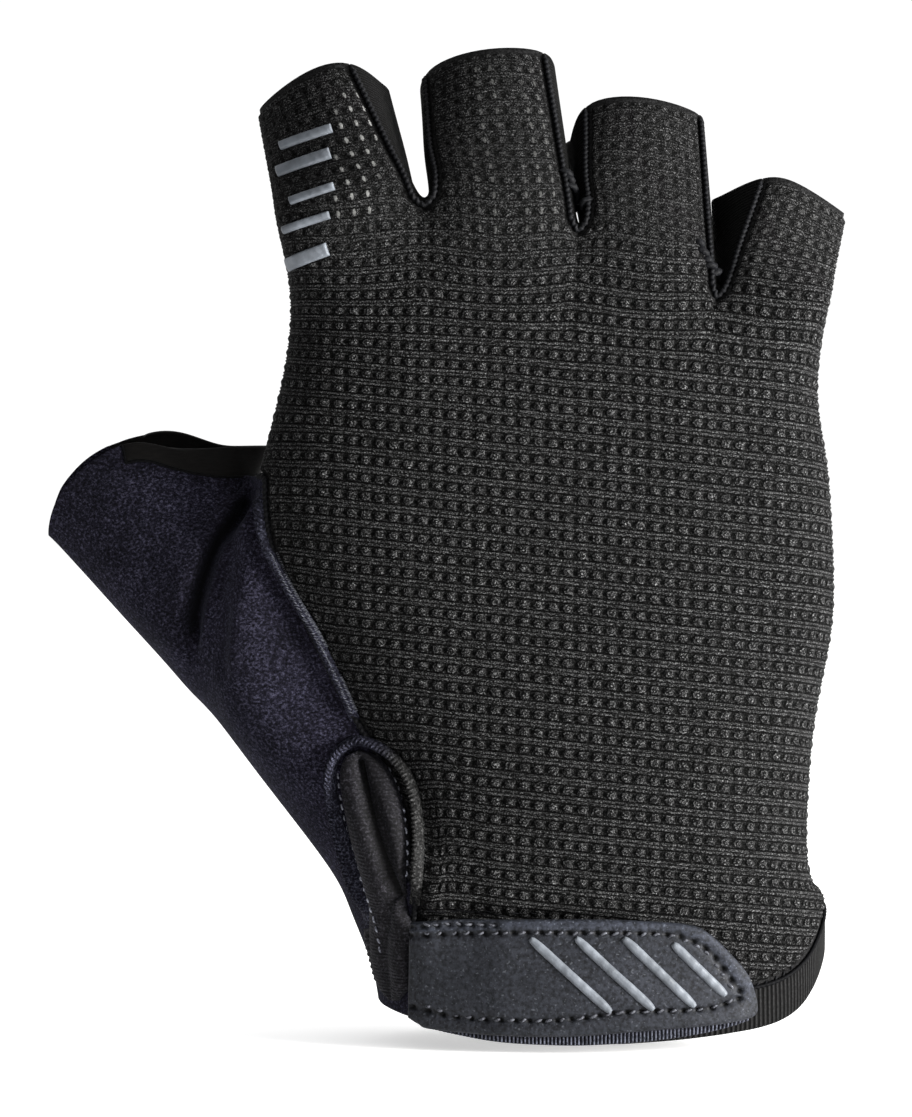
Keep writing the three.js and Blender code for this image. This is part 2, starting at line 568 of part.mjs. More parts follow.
// A closed piece lying on the skin between two edges of the front view, given as functions
// of the share along them. heightAt gives its thickness, along and across it.
function overlayGeometry(fromAt, toAt, rows, columns, lift, heightAt) {
  const positions = [];
  const under = [];
  const over = [];
  for (let i = 0; i <= rows; i += 1) {
    const s = i / rows;
    const [from, to] = [fromAt(s), toAt(s)];
    for (let j = 0; j <= columns; j += 1) {
      const t = j / columns;
      const [x, z] = [lerp(from[0], to[0], t), lerp(from[1], to[1], t)];
      const { point, normal } = skinOrBeyond(skin, skinNormals, skinFaces, x, z);
      [[under, lift], [over, lift + heightAt(s, t)]].forEach(([list, reach]) => {
        const placed = point.clone().addScaledVector(normal, reach);
        list.push(positions.length / 3);
        positions.push(placed.x, placed.y, placed.z);
      });
    }
  }
  const triangles = [];
  const at = (list, i, j) => list[i * (columns + 1) + j];
  const addFace = (a, b, c, d) => triangles.push(a, b, c, a, c, d);
  for (let i = 0; i < rows; i += 1) {
    for (let j = 0; j < columns; j += 1) {
      addFace(at(over, i, j), at(over, i, j + 1), at(over, i + 1, j + 1), at(over, i + 1, j));
      addFace(at(under, i, j), at(under, i + 1, j), at(under, i + 1, j + 1), at(under, i, j + 1));
    }
    addFace(at(over, i, 0), at(over, i + 1, 0), at(under, i + 1, 0), at(under, i, 0));
    addFace(at(over, i + 1, columns), at(over, i, columns), at(under, i, columns), at(under, i + 1, columns));
  }
  for (let j = 0; j < columns; j += 1) {
    addFace(at(over, 0, j + 1), at(over, 0, j), at(under, 0, j), at(under, 0, j + 1));
    addFace(at(over, rows, j), at(over, rows, j + 1), at(under, rows, j + 1), at(under, rows, j));
  }
  return geometryOf(positions, facingOut(positions, triangles));
}

// Turns every triangle round when the body they close would be inside out.
function facingOut(positions, triangles) {
  let volume = 0;
  for (let k = 0; k < triangles.length; k += 3) {
    const cornerAt = (corner) => new THREE.Vector3().fromArray(positions, 3 * triangles[k + corner]);
    const [a, b, c] = [0, 1, 2].map(cornerAt);
    volume += a.dot(b.cross(c));
  }
  return volume < 0 ? [...triangles].reverse() : triangles;
}

// A rounded roll along a path of the front view.
function rollGeometry(roll, rows) {
  const sideAt = (side) => (s) => {
    const here = alongPath(roll.path, s);
    const before = alongPath(roll.path, s - 0.02);
    const after = alongPath(roll.path, s + 0.02);
    const way = [after[0] - before[0], after[1] - before[1]];
    const length = Math.hypot(...way);
    const half = (side * roll.width) / (2 * length);
    return [here[0] - half * way[1], here[1] + half * way[0]];
  };
  const heightAt = (s, t) => roll.height * (0.3 + 0.7 * Math.sin(Math.PI * t));
  return overlayGeometry(sideAt(-1), sideAt(1), rows, 4, roll.lift, heightAt);
}

// A flat bar between two points, with square or tapering ends.
function barGeometry(bar, { lift, height, rows, taper }) {
  const way = [bar.to[0] - bar.from[0], bar.to[1] - bar.from[1]];
  const length = Math.hypot(...way);
  const sideAt = (side) => (s) => {
    const half = (bar.width / 2) * (taper ? 0.2 + 0.8 * Math.min(1, Math.min(s, 1 - s) / taper) : 1);
    return [
      lerp(bar.from[0], bar.to[0], s) - (side * way[1] * half) / length,
      lerp(bar.from[1], bar.to[1], s) + (side * way[0] * half) / length,
    ];
  };
  return overlayGeometry(sideAt(-1), sideAt(1), rows, 1, lift, () => height);
}

function gussetGeometry() {
  const heightAt = (s, t) => {
    const fold = listAt(GUSSET.fold, s);
    const isLeft = t < fold;
    const across = isLeft ? t / fold : (t - fold) / (1 - fold);
    const lobe = listAt(isLeft ? GUSSET.leftLobe : GUSSET.rightLobe, s);
    return GUSSET.base + lobe * Math.sin(Math.PI * THREE.MathUtils.clamp(across, 0, 1)) ** 0.7;
  };
  const edges = [GUSSET.left, GUSSET.right].map((edge) => (s) => alongPath(edge, s));
  return overlayGeometry(...edges, 18, 8, GUSSET.lift, heightAt);
}

const KNIT = { color: 0x1b1b1c, roughness: 0.9, metalness: 0 };
const SUEDE = { color: 0x1d1e2a, roughness: 1.0, metalness: 0 };
const STRETCH = { color: 0x0c0c0d, roughness: 0.85, metalness: 0 };
const RIB = { color: 0x17171a, roughness: 0.9, metalness: 0 };
const STRAP_SKIN = { color: 0x32363f, roughness: 0.7, metalness: 0 };
const TRICOT = { color: 0x252836, roughness: 0.8, metalness: 0 };
const SILVER = { color: 0x9a9ea6, roughness: 0.45, metalness: 0.3 };

const glove = new THREE.Group();

function addMesh(name, geometry, look) {
  const mesh = new THREE.Mesh(geometry, new THREE.MeshStandardMaterial(look));
  mesh.name = name;
  glove.add(mesh);
  return mesh;
}

const rings = buildHand();
buildFingers(rings.at(-1));
buildThumb(rings);
const skin = subdivide(fitThroughCage(cage));
const skinNormals = evenNormals(skin, vertexNormals(skin), NORMAL_ROUNDS);

const PANELS = [
  { name: "back_panel", wall: KNIT_WALL, look: KNIT },
  { name: "palm_panel", wall: SUEDE_WALL, look: SUEDE },
  { name: "thumb_panel", wall: SUEDE_WALL, look: SUEDE },
  { name: "thumb_binding", wall: BINDING_WALL, look: STRETCH },
  { name: "wrist_hem", wall: HEM_WALL, look: RIB },
  ...FOURCHETTES.map((name) => ({ name, wall: FOURCHETTE_WALL, look: STRETCH })),
];
PANELS.forEach(({ name, wall, look }) => {
  addMesh(name, panelGeometry(skin, skinNormals, name, wall), look);
});

const skinFaces = frontFaces(skin);
const strapEdges = (strap) => [(s) => alongPath(strap.top, s), (s) => alongPath(strap.bottom, s)];
const strap = overlayGeometry(...strapEdges(STRAP), 20, 5, STRAP.lift, () => STRAP.height);
addMesh("closure_strap", strap, STRAP_SKIN);
const { lift: backingLift, height: backingHeight } = STRAP_BACKING;
const backing = overlayGeometry(...strapEdges(STRAP_BACKING), 20, 5, backingLift, () => backingHeight);
addMesh("strap_backing", backing, STRAP_SKIN);
STRAP_STRIPES.forEach((stripe) => {
  addMesh(stripe.name, barGeometry({ ...stripe, width: STRIPE.width }, STRIPE), SILVER);
});
FINGER_BARS.forEach((bar) => addMesh(bar.name, barGeometry(bar, BAR), SILVER));
addMesh("thumb_seam_roll", rollGeometry(SEAM_ROLL, 14), SUEDE);
addMesh("vent_binding", rollGeometry(VENT_EDGE, 26), SUEDE);
addMesh("vent_gusset", gussetGeometry(), TRICOT);

export default glove;
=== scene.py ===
"""Looks of a short-finger sport glove for the right hand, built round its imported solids.

The cloth shell is one quad cage in millimetres, smoothed by subdivision. Its panels become
closed shells, the knit back gets its stitches as a lattice of real relief, and the straps,
rolls, seams and stitches are laid on the skin where the front view shows them.
"""
import math
from collections import namedtuple

import bpy
import numpy as np
from mathutils import Matrix, Vector
from mathutils.bvhtree import BVHTree
from mathutils.interpolate import poly_3d_calc
from mathutils.kdtree import KDTree


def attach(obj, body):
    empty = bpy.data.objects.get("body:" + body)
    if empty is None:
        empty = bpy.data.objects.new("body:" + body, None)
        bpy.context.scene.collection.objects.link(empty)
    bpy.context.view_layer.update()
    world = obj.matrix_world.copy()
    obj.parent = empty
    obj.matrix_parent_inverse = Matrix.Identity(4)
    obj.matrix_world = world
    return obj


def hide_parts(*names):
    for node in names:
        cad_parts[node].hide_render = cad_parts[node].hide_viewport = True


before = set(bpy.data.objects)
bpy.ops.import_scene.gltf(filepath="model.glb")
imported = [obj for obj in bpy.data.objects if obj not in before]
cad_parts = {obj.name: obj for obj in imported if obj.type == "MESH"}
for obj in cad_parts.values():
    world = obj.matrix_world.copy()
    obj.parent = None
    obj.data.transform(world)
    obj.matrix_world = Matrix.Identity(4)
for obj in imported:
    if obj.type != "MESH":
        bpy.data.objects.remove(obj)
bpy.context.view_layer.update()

MM = 0.001

# Cloth thicknesses and seams, in millimetres.
KNIT_WALL = 1.2
SUEDE_WALL = 1.3
FOURCHETTE_WALL = 1.1
HEM_WALL = 1.9
BINDING_WALL = 1.1
SEAM_OVERLAP = 0.25
NORMAL_ROUNDS = 5

# The hand's cross-sections from the wrist to the knuckles.
Section = namedtuple("Section", "name z left seam right back palm square slope")
HAND_SECTIONS = [
    Section("hem_top", 5.4, -39.2, -32.0, 38.2, -20.6, 21.5, 2.3, 0),
    Section("wrist", 13.5, -42.8, -31.4, 37.4, -20.4, 21.4, 2.3, 0),
    Section("wrist_top", 23.0, -46.9, -31.8, 35.3, -19.8, 21.6, 2.3, 0),
    Section("heel", 36.6, -40.0, -34.2, 35.4, -19.2, 21.5, 2.4, 0),
    Section("lower_palm", 49.8, -46.4, -42.2, 36.8, -18.8, 20.5, 2.4, 0),
    Section("mid_palm", 62.7, -52.4, -48.6, 39.2, -18.6, 18.5, 2.5, 0),
    Section("upper_palm", 75.4, -57.4, -55.0, 39.4, -18.4, 16.5, 2.5, 0),
    Section("crotch", 88.2, -57.7, -56.5, 38.6, -18.0, 14.8, 2.6, 0),
    Section("below_knuckles", 102.0, -54.4, -51.6, 37.5, -17.8, 13.6, 2.7, 6.5),
    Section("knuckles", 117.0, -52.3, -49.4, 36.7, -17.0, 12.6, 2.8, 12.5),
]
WRIST_TOP = 2
CROTCH = 7
BACK_SHARES = [0, 0.088, 0.205, 0.255, 0.382, 0.505, 0.542, 0.66, 0.77, 0.805, 0.905, 1]
WRIST_EDGE = {"left": -37.8, "lowest": -4.9, "left_rise": 5.2, "right_rise": 14.4, "palm": 3.5}
WRIST_BEND = {"left": 2.4, "right": 1.6, "corner": 0.72, "corner_bend": 12}
HEM_HEIGHT = 6.6
WRIST_OVAL = {"half_wide": 38, "half_deep": 21, "mean_radius": 30}
WRIST_FOLLOW = 0.35

Finger = namedtuple("Finger", "name base_x web_left web_right base_wide base_deep tip_x tip_y tip_z"
                              " wide deep tilt roll curl seam_left seam_right drop_left drop_right")
FINGERS = [
    Finger("index", -42.2, 129.5, 135.8, 22.8, 26.0, -47.2, 8.2, 153.4,
           21.8, 19.5, -14, -16, 27, -57, 45, -1.6, 1.2),
    Finger("middle", -16.6, 135.8, 131.6, 24.6, 27.0, -19.0, 9.6, 157.2,
           23.2, 20.0, -9, -4, 25, -57, 60, 2.6, 1.0),
    Finger("ring", 7.8, 131.6, 120.0, 22.8, 26.0, 6.2, 9.4, 148.9,
           23.2, 20.0, -3, 13, 25, -55, 57, 3.6, -1.0),
    Finger("little", 28.6, 120.0, 117.0, 17.8, 24.0, 31.0, 7.8, 134.9,
           22.4, 18.4, 7, 22, 24, -38, 57, 1.2, -2.4),
]
FINGER_BASE_Y = -2.6
FINGER_STEPS = 3
WEB_DIP = 1.0
Spot = namedtuple("Spot", "name across deep angle")
FINGER_SPOTS = [
    Spot("seam_left", -0.465, -0.41, -57),
    Spot("back", 0, -0.5, 0),
    Spot("seam_right", 0.465, -0.41, 57),
    Spot("right_side", 0.5, -0.06, 92),
    Spot("palm_right", 0.455, 0.3, 126),
    Spot("palm", 0, 0.5, 180),
    Spot("palm_left", -0.455, 0.3, -126),
    Spot("left_side", -0.5, -0.06, -92),
]
FOURCHETTES = ["fourchette_index_middle", "fourchette_middle_ring", "fourchette_ring_little"]

Station = namedtuple("Station", "name crotch outer middle_y half dent near far")
THUMB_SHARES = [0.1, 0.27, 0.45, 0.63, 0.79, 0.92]
THUMB_STATIONS = [
    Station("root", (-57.9, 87.6), (-57.1, 37.0), 4.0, 14.0, 0, None, None),
    Station("fold_lip", (-58.3, 88.1), (-65.4, 47.4), 6.0, 13.4, -0.5, None, None),
    Station("fold", (-58.8, 88.5), (-69.8, 52.0), 7.0, 12.8, 2.6, None, None),
    Station("fold_end", (-59.2, 88.9), (-74.3, 57.0), 7.8, 12.2, 0, None, None),
    Station("thumb", (-59.0, 89.2), (-82.0, 65.4), 9.4, 11.0, 0, None, None),
    Station("band", (-58.0, 89.4), (-91.4, 75.2), 11.8, 9.6, 0,
            [(-59.5, 89.0), (-62.6, 88.8), (-67.0, 89.2), (-73.6, 90.8), (-80.6, 91.6), (-89.2, 83.8)],
            [(-60.4, 89.6), (-65.2, 90.0), (-71.2, 91.8), (-77.6, 92.6), (-83.6, 91.6), (-90.0, 84.2)]),
    Station("edge", (-56.3, 94.0), (-94.7, 78.6), 12.6, 8.6, 0,
            [(-59.6, 94.0), (-62.8, 94.0), (-67.4, 93.6), (-74.2, 93.8), (-82.2, 93.0), (-92.4, 86.0)],
            [(-60.7, 94.2), (-65.9, 94.7), (-72.2, 96.8), (-78.4, 96.6), (-85.2, 93.2), (-93.0, 86.6)]),
]
BAND_COLUMNS = 5


def lerp(a, b, share):
    return a + (b - a) * share


def smoothstep(low, high, value):
    share = np.clip((value - low) / (high - low), 0, 1)
    return share * share * (3 - 2 * share)


def bell(distance, width, power=2):
    """1 at no distance, falling off smoothly over the width."""
    return np.exp(-(distance / width) ** power)


# The cage: vertices, quads with their panels, and where each vertex of the knit back lies on
# the flat cloth, as millimetres across from the middle of the hand and along it.
cage_vertices = []
cage_quads = []
cage_panels = []
flat_cloth = {}


def add_vertex(x, y, z):
    cage_vertices.append((x, y, z))
    return len(cage_vertices) - 1


def add_quad(a, b, c, d, panel):
    cage_quads.append((a, b, c, d))
    cage_panels.append(panel)


def join_rings(lower, upper, panel_of):
    count = len(lower)
    for k in range(count):
        corners = (lower[k], lower[(k + 1) % count], upper[(k + 1) % count], upper[k])
        if None not in corners:
            add_quad(*corners, panel_of(k))


def chord(a, b):
    return math.dist(cage_vertices[a], cage_vertices[b])


def wrist_edge_height(across, is_back):
    rise = WRIST_EDGE["left_rise"] if across < 0 else WRIST_EDGE["right_rise"]
    far = abs(across)
    if not is_back:
        return lerp(WRIST_EDGE["palm"], WRIST_EDGE["lowest"] + rise, far ** 2)
    if across < 0:
        return WRIST_EDGE["lowest"] + rise * far ** WRIST_BEND["left"]
    bend = lerp(far ** WRIST_BEND["right"], far ** WRIST_BEND["corner_bend"], WRIST_BEND["corner"])
    return WRIST_EDGE["lowest"] + rise * bend


def hand_ring(section, height_at, has_thumb_side):
    """Twelve vertices along the back, the little-finger side, twelve along the palm and the thumb side."""
    middle_x = (section.left + section.right) / 2
    half = (section.right - section.left) / 2
    middle_y = (section.back + section.palm) / 2
    half_deep = (section.palm - section.back) / 2
    right_edge = section.right - 0.045 * (section.right - section.seam)

    def place(x, side):
        across = (x - middle_x) / half
        rise = (1 - min(1, abs(across)) ** section.square) ** (1 / section.square)
        return add_vertex(x, middle_y + side * half_deep * rise, height_at(across, side < 0))

    columns = [lerp(section.seam, right_edge, share) for share in BACK_SHARES]
    back = [place(x, -1) for x in columns]
    right = add_vertex(section.right, middle_y, height_at(1, True))
    palm = [place(x, 1) for x in columns][::-1]
    left = add_vertex(section.left, middle_y, height_at(-1, True)) if has_thumb_side else None
    lay_hand_ring_flat(back, right, palm, left)
    return {"back": back, "palm": palm, "left": left, "all": [*back, right, *palm, left]}


def lay_hand_ring_flat(back, right, palm, left):
    places = [0.0]
    for a, b in zip([*back, right], [*back[1:], right, palm[0]]):
        places.append(places[-1] + chord(a, b))
    middle = np.interp(0, [cage_vertices[corner][0] for corner in back], places[:len(back)])
    for corner, place in zip([*back, right, palm[0]], places):
        flat_cloth[corner] = (place - middle, cage_vertices[corner][2])
    if left is not None:
        flat_cloth[left] = (-middle - chord(left, back[0]), cage_vertices[left][2])
        place = flat_cloth[left][0] - chord(left, palm[-1])
        flat_cloth[palm[-1]] = (place, cage_vertices[palm[-1]][2])


def hand_panel(column, row):
    is_thumb_side = column >= 24
    if row == 0 and not is_thumb_side:
        return "wrist_hem"
    if column <= 12:
        return "back_panel"
    if not is_thumb_side:
        return "palm_panel"
    return "back_panel" if row > CROTCH else "thumb_panel"


def build_hand():
    rings = [hand_ring(HAND_SECTIONS[0]._replace(left=WRIST_EDGE["left"]), wrist_edge_height, True)]
    for index, section in enumerate(HAND_SECTIONS):
        def height_at(across, is_back, index=index, section=section):
            edge = wrist_edge_height(across, is_back)
            if index == 0:
                return edge + HEM_HEIGHT
            lag = WRIST_FOLLOW * (edge - WRIST_EDGE["lowest"]) if index == 1 else 0
            return section.z + lag - section.slope * (across + 1) / 2
        rings.append(hand_ring(section, height_at, index <= WRIST_TOP or index >= CROTCH))
    for row, (lower, upper) in enumerate(zip(rings, rings[1:])):
        join_rings(lower["all"], upper["all"], lambda column, row=row: hand_panel(column, row))
    return rings


def finger_point(angle, wide, deep, square=2.5):
    sine = math.sin(math.radians(angle))
    cosine = math.cos(math.radians(angle))
    reach = (abs(sine) ** square + abs(cosine) ** square) ** (-1 / square)
    return wide / 2 * reach * sine, -deep / 2 * reach * cosine


def lay_finger_ring_flat(ring, middle, along_of):
    """Round the finger from the middle of its back: two spots to the left and three to the right."""
    flat_cloth[ring[1]] = (middle, along_of(1))
    for way, spots in ((-1, (1, 0, 7, 6)), (1, (1, 2, 3, 4))):
        place = middle
        for before, spot in zip(spots, spots[1:]):
            place += way * chord(ring[before], ring[spot])
            flat_cloth[ring[spot]] = (place, along_of(spot))


def finger_base(finger, middle):
    ring = []
    heights = []
    for spot in FINGER_SPOTS:
        height = lerp(finger.web_left, finger.web_right, spot.across + 0.5)
        dip = WEB_DIP if spot.name.endswith("side") else 0
        ring.append(add_vertex(finger.base_x + spot.across * finger.base_wide,
                               FINGER_BASE_Y + spot.deep * finger.base_deep, height - dip))
        heights.append(height)
    lay_finger_ring_flat(ring, middle, lambda spot: heights[spot])
    return ring


def finger_ring(finger, base, share):
    turn = (Matrix.Rotation(math.radians(finger.tilt), 3, "Y")
            @ Matrix.Rotation(math.radians(-finger.curl), 3, "X")
            @ Matrix.Rotation(math.radians(finger.roll), 3, "Z"))
    own = {"seam_left": finger.seam_left, "seam_right": finger.seam_right}
    drops = {"left_side": finger.drop_left, "right_side": finger.drop_right}
    tips = []
    for spot in FINGER_SPOTS:
        across, deep = finger_point(own.get(spot.name, spot.angle), finger.wide, finger.deep)
        tip = turn @ Vector((across, deep, -drops.get(spot.name, 0)))
        tips.append(tip + Vector((finger.tip_x, finger.tip_y, finger.tip_z)))
    starts = [Vector(cage_vertices[corner]) for corner in base]
    ring = [add_vertex(*start.lerp(tip, share)) for start, tip in zip(starts, tips)]
    middle, low = flat_cloth[base[1]]
    high = low + (tips[1] - starts[1]).length

    def height(spot):
        return lerp(flat_cloth.get(base[spot], (0, low))[1], high, share)

    lay_finger_ring_flat(ring, middle, height)
    return ring


def finger_panel(index, column):
    if column <= 1:
        return "back_panel"
    if column <= 3:
        return "back_panel" if index == len(FINGERS) - 1 else FOURCHETTES[index]
    if column <= 5:
        return "palm_panel"
    return "back_panel" if index == 0 else FOURCHETTES[index - 1]


def build_fingers(knuckles):
    spots = [cage_vertices[corner][0] for corner in knuckles["back"]]
    places = [flat_cloth[corner][0] for corner in knuckles["back"]]
    bases = [finger_base(finger, float(np.interp(finger.base_x, spots, places))) for finger in FINGERS]
    left, back, right, right_side, palm_right, palm, palm_left, left_side = range(8)
    over = [base[spot] for base in bases for spot in (left, back, right)]
    under = [base[spot] for base in bases for spot in (palm_left, palm, palm_right)][::-1]
    top = [*over, bases[-1][right_side], *under, bases[0][left_side]]
    join_rings(knuckles["all"], top, lambda column: hand_panel(column, CROTCH + 4))
    for panel, here, after in zip(FOURCHETTES, bases, bases[1:]):
        add_quad(here[right], after[left], after[left_side], here[right_side], panel)
        add_quad(here[right_side], after[left_side], after[palm_left], here[palm_right], panel)
    starts = []
    for index, finger in enumerate(FINGERS):
        starts.append(len(cage_quads))
        below = bases[index]
        for step in range(1, FINGER_STEPS + 1):
            ring = finger_ring(finger, bases[index], step / FINGER_STEPS)
            join_rings(below, ring, lambda column, index=index: finger_panel(index, column))
            below = ring
    return starts


def thumb_ring(station):
    near = station.near or [[lerp(a, b, share) for a, b in zip(station.crotch, station.outer)]
                            for share in THUMB_SHARES]
    far = station.far or near
    count = len(near)
    bulges = [math.sin(math.pi * (j + 1) / (count + 1)) ** 0.6 for j in range(count)]
    middle = station.middle_y
    crotch = add_vertex(station.crotch[0], middle - 1, station.crotch[1])
    palm = [add_vertex(x, middle + station.half * bulge, z) for (x, z), bulge in zip(far, bulges)]
    outer = add_vertex(station.outer[0], middle, station.outer[1])
    back = [add_vertex(x, middle - (station.half - station.dent) * bulge, z)
            for (x, z), bulge in zip(near, bulges)][::-1]
    return [crotch, *palm, outer, *back]


def build_thumb(rings):
    rows = [rings[row + 1] for row in range(CROTCH, WRIST_TOP - 1, -1)]
    inner = [rows[0]["left"], *[ring["palm"][-1] for ring in rows], rows[-1]["left"],
             *[ring["back"][0] for ring in rows][::-1]]
    for station in THUMB_STATIONS:
        ring = thumb_ring(station)
        count = len(ring)

        def panel_of(column, is_edge=station.name == "edge", count=count):
            in_band = column < BAND_COLUMNS or column >= count - BAND_COLUMNS
            return "thumb_binding" if is_edge and in_band else "thumb_panel"
        join_rings(inner, ring, panel_of)
        inner = ring


def edge_pairs(quads, count):
    """The two corners of each quad's edges, and a key for each edge whichever way it runs."""
    pairs = np.stack([quads, np.roll(quads, -1, 1)], 2).reshape(-1, 2)
    return pairs, pairs.min(1) * count + pairs.max(1)


def rim_edges(quads, count):
    """The edges that only one quad has."""
    pairs, keys = edge_pairs(quads, count)
    _, first, uses = np.unique(keys, return_index=True, return_counts=True)
    return pairs[first[uses == 1]]


def subdivide(vertices, quads):
    """One step of Catmull-Clark. Old vertices come first, and quad i becomes quads 4i to 4i+3."""
    count = len(vertices)
    centres = vertices[quads].mean(1)
    _, keys = edge_pairs(quads, count)
    keys, edge_of, uses = np.unique(keys, return_inverse=True, return_counts=True)
    edge_of = edge_of.reshape(-1)
    ends = np.stack([keys // count, keys % count], 1)
    middles = vertices[ends].mean(1)
    face_sums = np.zeros_like(middles)
    np.add.at(face_sums, edge_of, np.repeat(centres, 4, 0))
    is_rim = uses == 1
    edge_points = np.where(is_rim[:, None], middles, (middles + face_sums / uses[:, None]) / 2)
    valence = np.maximum(np.bincount(quads.ravel(), minlength=count), 1)[:, None]
    face_mean = np.zeros_like(vertices)
    np.add.at(face_mean, quads.ravel(), np.repeat(centres, 4, 0))
    middle_mean = np.zeros_like(vertices)
    rim_sum = np.zeros_like(vertices)
    for side in (0, 1):
        np.add.at(middle_mean, ends[:, side], middles)
        np.add.at(rim_sum, ends[is_rim, side], middles[is_rim])
    moved = (face_mean / valence + 2 * middle_mean / valence + (valence - 3) * vertices) / valence
    on_rim = np.zeros(count, bool)
    on_rim[ends[is_rim].ravel()] = True
    moved[on_rim] = 0.5 * vertices[on_rim] + 0.25 * rim_sum[on_rim]
    edge_ids = (count + len(quads) + edge_of).reshape(-1, 4)
    centre_ids = np.repeat(np.arange(count, count + len(quads))[:, None], 4, 1)
    fine = np.stack([quads, edge_ids, centre_ids, np.roll(edge_ids, 1, 1)], 2).reshape(-1, 4)
    return np.vstack([moved, centres, edge_points]), fine


def fit_through_cage(vertices, quads, rounds=6):
    """Moves the cage until the smooth surface passes through where its vertices were."""
    targets = vertices.copy()
    for _ in range(rounds):
        fine, _ = subdivide(*subdivide(vertices, quads))
        vertices = vertices + targets - fine[:len(targets)]
    return vertices


def unit(vectors):
    return vectors / np.maximum(np.linalg.norm(vectors, axis=-1, keepdims=True), 1e-12)


def vertex_normals(vertices, quads):
    a, b, c, d = (vertices[quads[:, k]] for k in range(4))
    facing = np.cross(c - a, d - b)
    normals = np.zeros_like(vertices)
    for k in range(4):
        np.add.at(normals, quads[:, k], facing)
    return unit(normals)


def even_normals(quads, normals, rounds):
    for _ in range(rounds):
        sums = normals.copy()
        for k in range(4):
            here, after = quads[:, k], quads[:, (k + 1) % 4]
            np.add.at(sums, here, 0.5 * normals[after])
            np.add.at(sums, after, 0.5 * normals[here])
        normals = unit(sums)
    return normals


rings = build_hand()
FINGER_STARTS = build_fingers(rings[-1])
FINGER_END = len(cage_quads)
build_thumb(rings)

quads_0 = np.array(cage_quads)
panels_0 = np.array(cage_panels)
fitted = fit_through_cage(np.array(cage_vertices, float), quads_0)
skin, skin_quads = subdivide(fitted, quads_0)
normals = even_normals(skin_quads, vertex_normals(skin, skin_quads), NORMAL_ROUNDS)
# From here the evened normals are smoothed along with the places.
SKIN_LEVEL = 3
channels = np.hstack([skin, normals])
for _ in range(SKIN_LEVEL - 1):
    channels, skin_quads = subdivide(channels, skin_quads)
skin = channels[:, :3]
normals = unit(channels[:, 3:6])
CHILDREN = 4 ** SKIN_LEVEL
skin_panels = np.repeat(panels_0, CHILDREN)
# Which finger each fine quad belongs to: 0 is the hand.
quad_finger = np.zeros(len(panels_0), int)
for number, (start, end) in enumerate(zip(FINGER_STARTS, [*FINGER_STARTS[1:], FINGER_END]), 1):
    quad_finger[start:end] = number
skin_finger = np.repeat(quad_finger, CHILDREN)


# Materials.
class Shader:
    """A material whose nodes are added and linked by name."""

    def __init__(self, name):
        self.material = bpy.data.materials.new(name)
        self.material.use_nodes = True
        self.tree = self.material.node_tree
        self.tree.nodes.clear()
        self.output = self.tree.nodes.new("ShaderNodeOutputMaterial")

    def add(self, kind, inputs=None, **settings):
        node = self.tree.nodes.new(kind)
        for key, value in settings.items():
            setattr(node, key, value)
        for key, value in (inputs or {}).items():
            if isinstance(value, bpy.types.NodeSocket):
                self.tree.links.new(value, node.inputs[key])
            else:
                node.inputs[key].default_value = value
        return node

    def math(self, operation, a, b=0.0):
        return self.add("ShaderNodeMath", {0: a, 1: b}, operation=operation).outputs[0]

    def noise(self, place, scale, detail=3.0, roughness=0.6):
        inputs = {"Vector": place, "Scale": scale, "Detail": detail, "Roughness": roughness}
        return self.add("ShaderNodeTexNoise", inputs).outputs["Fac"]

    def attribute(self, name):
        return self.add("ShaderNodeAttribute", attribute_name=name).outputs["Fac"]

    def stretched(self, place, scale, turn=(0, 0, 0)):
        return self.add("ShaderNodeMapping", {"Vector": place, "Scale": scale, "Rotation": turn}).outputs[0]

    def ramp(self, factor, *stops):
        node = self.add("ShaderNodeValToRGB", {"Fac": factor})
        elements = node.color_ramp.elements
        while len(elements) < len(stops):
            elements.new(0.5)
        for element, (place, colour) in zip(elements, stops):
            element.position = place
            element.color = (*colour, 1)
        return node.outputs["Color"]

    def greys(self, factor, tones):
        return self.ramp(factor, *((stop, (tone, tone, tone)) for stop, tone in tones))

    def blend(self, factor, a, b, mode="MIX"):
        node = self.add("ShaderNodeMix", {"Factor": factor}, data_type="RGBA", blend_type=mode)
        for key, value in ((6, a), (7, b)):
            if isinstance(value, bpy.types.NodeSocket):
                self.tree.links.new(value, node.inputs[key])
            else:
                node.inputs[key].default_value = (*value, 1)
        return node.outputs[2]

    def times(self, a, b):
        return self.blend(1.0, a, b, "MULTIPLY")

    def objects_place(self):
        return self.add("ShaderNodeTexCoord").outputs["Object"]

    def bump(self, height, strength, distance, normal=None):
        inputs = {"Height": height, "Strength": strength, "Distance": distance * MM}
        if normal is not None:
            inputs["Normal"] = normal
        return self.add("ShaderNodeBump", inputs).outputs[0]

    def finish(self, colour, roughness, normal=None, sheen=0.0, sheen_tint=(1, 1, 1), specular=0.3,
               glow=0.0):
        inputs = {"Roughness": roughness, "Sheen Weight": sheen, "Sheen Roughness": 0.4,
                  "Sheen Tint": (*sheen_tint, 1), "Specular IOR Level": specular,
                  "Emission Color": (1, 1, 1, 1), "Emission Strength": glow}
        inputs["Base Color"] = colour if isinstance(colour, bpy.types.NodeSocket) else (*colour, 1)
        if normal is not None:
            inputs["Normal"] = normal
        shader = self.add("ShaderNodeBsdfPrincipled", inputs)
        self.tree.links.new(shader.outputs[0], self.output.inputs["Surface"])
        return self.material


# One repeat of the knit's stitches, in millimetres.
REPEAT_ACROSS = 2.4
REPEAT_ALONG = 3.0

# Noise scales are in cycles a metre.
YARN = 2600.0
NAP = 2300.0
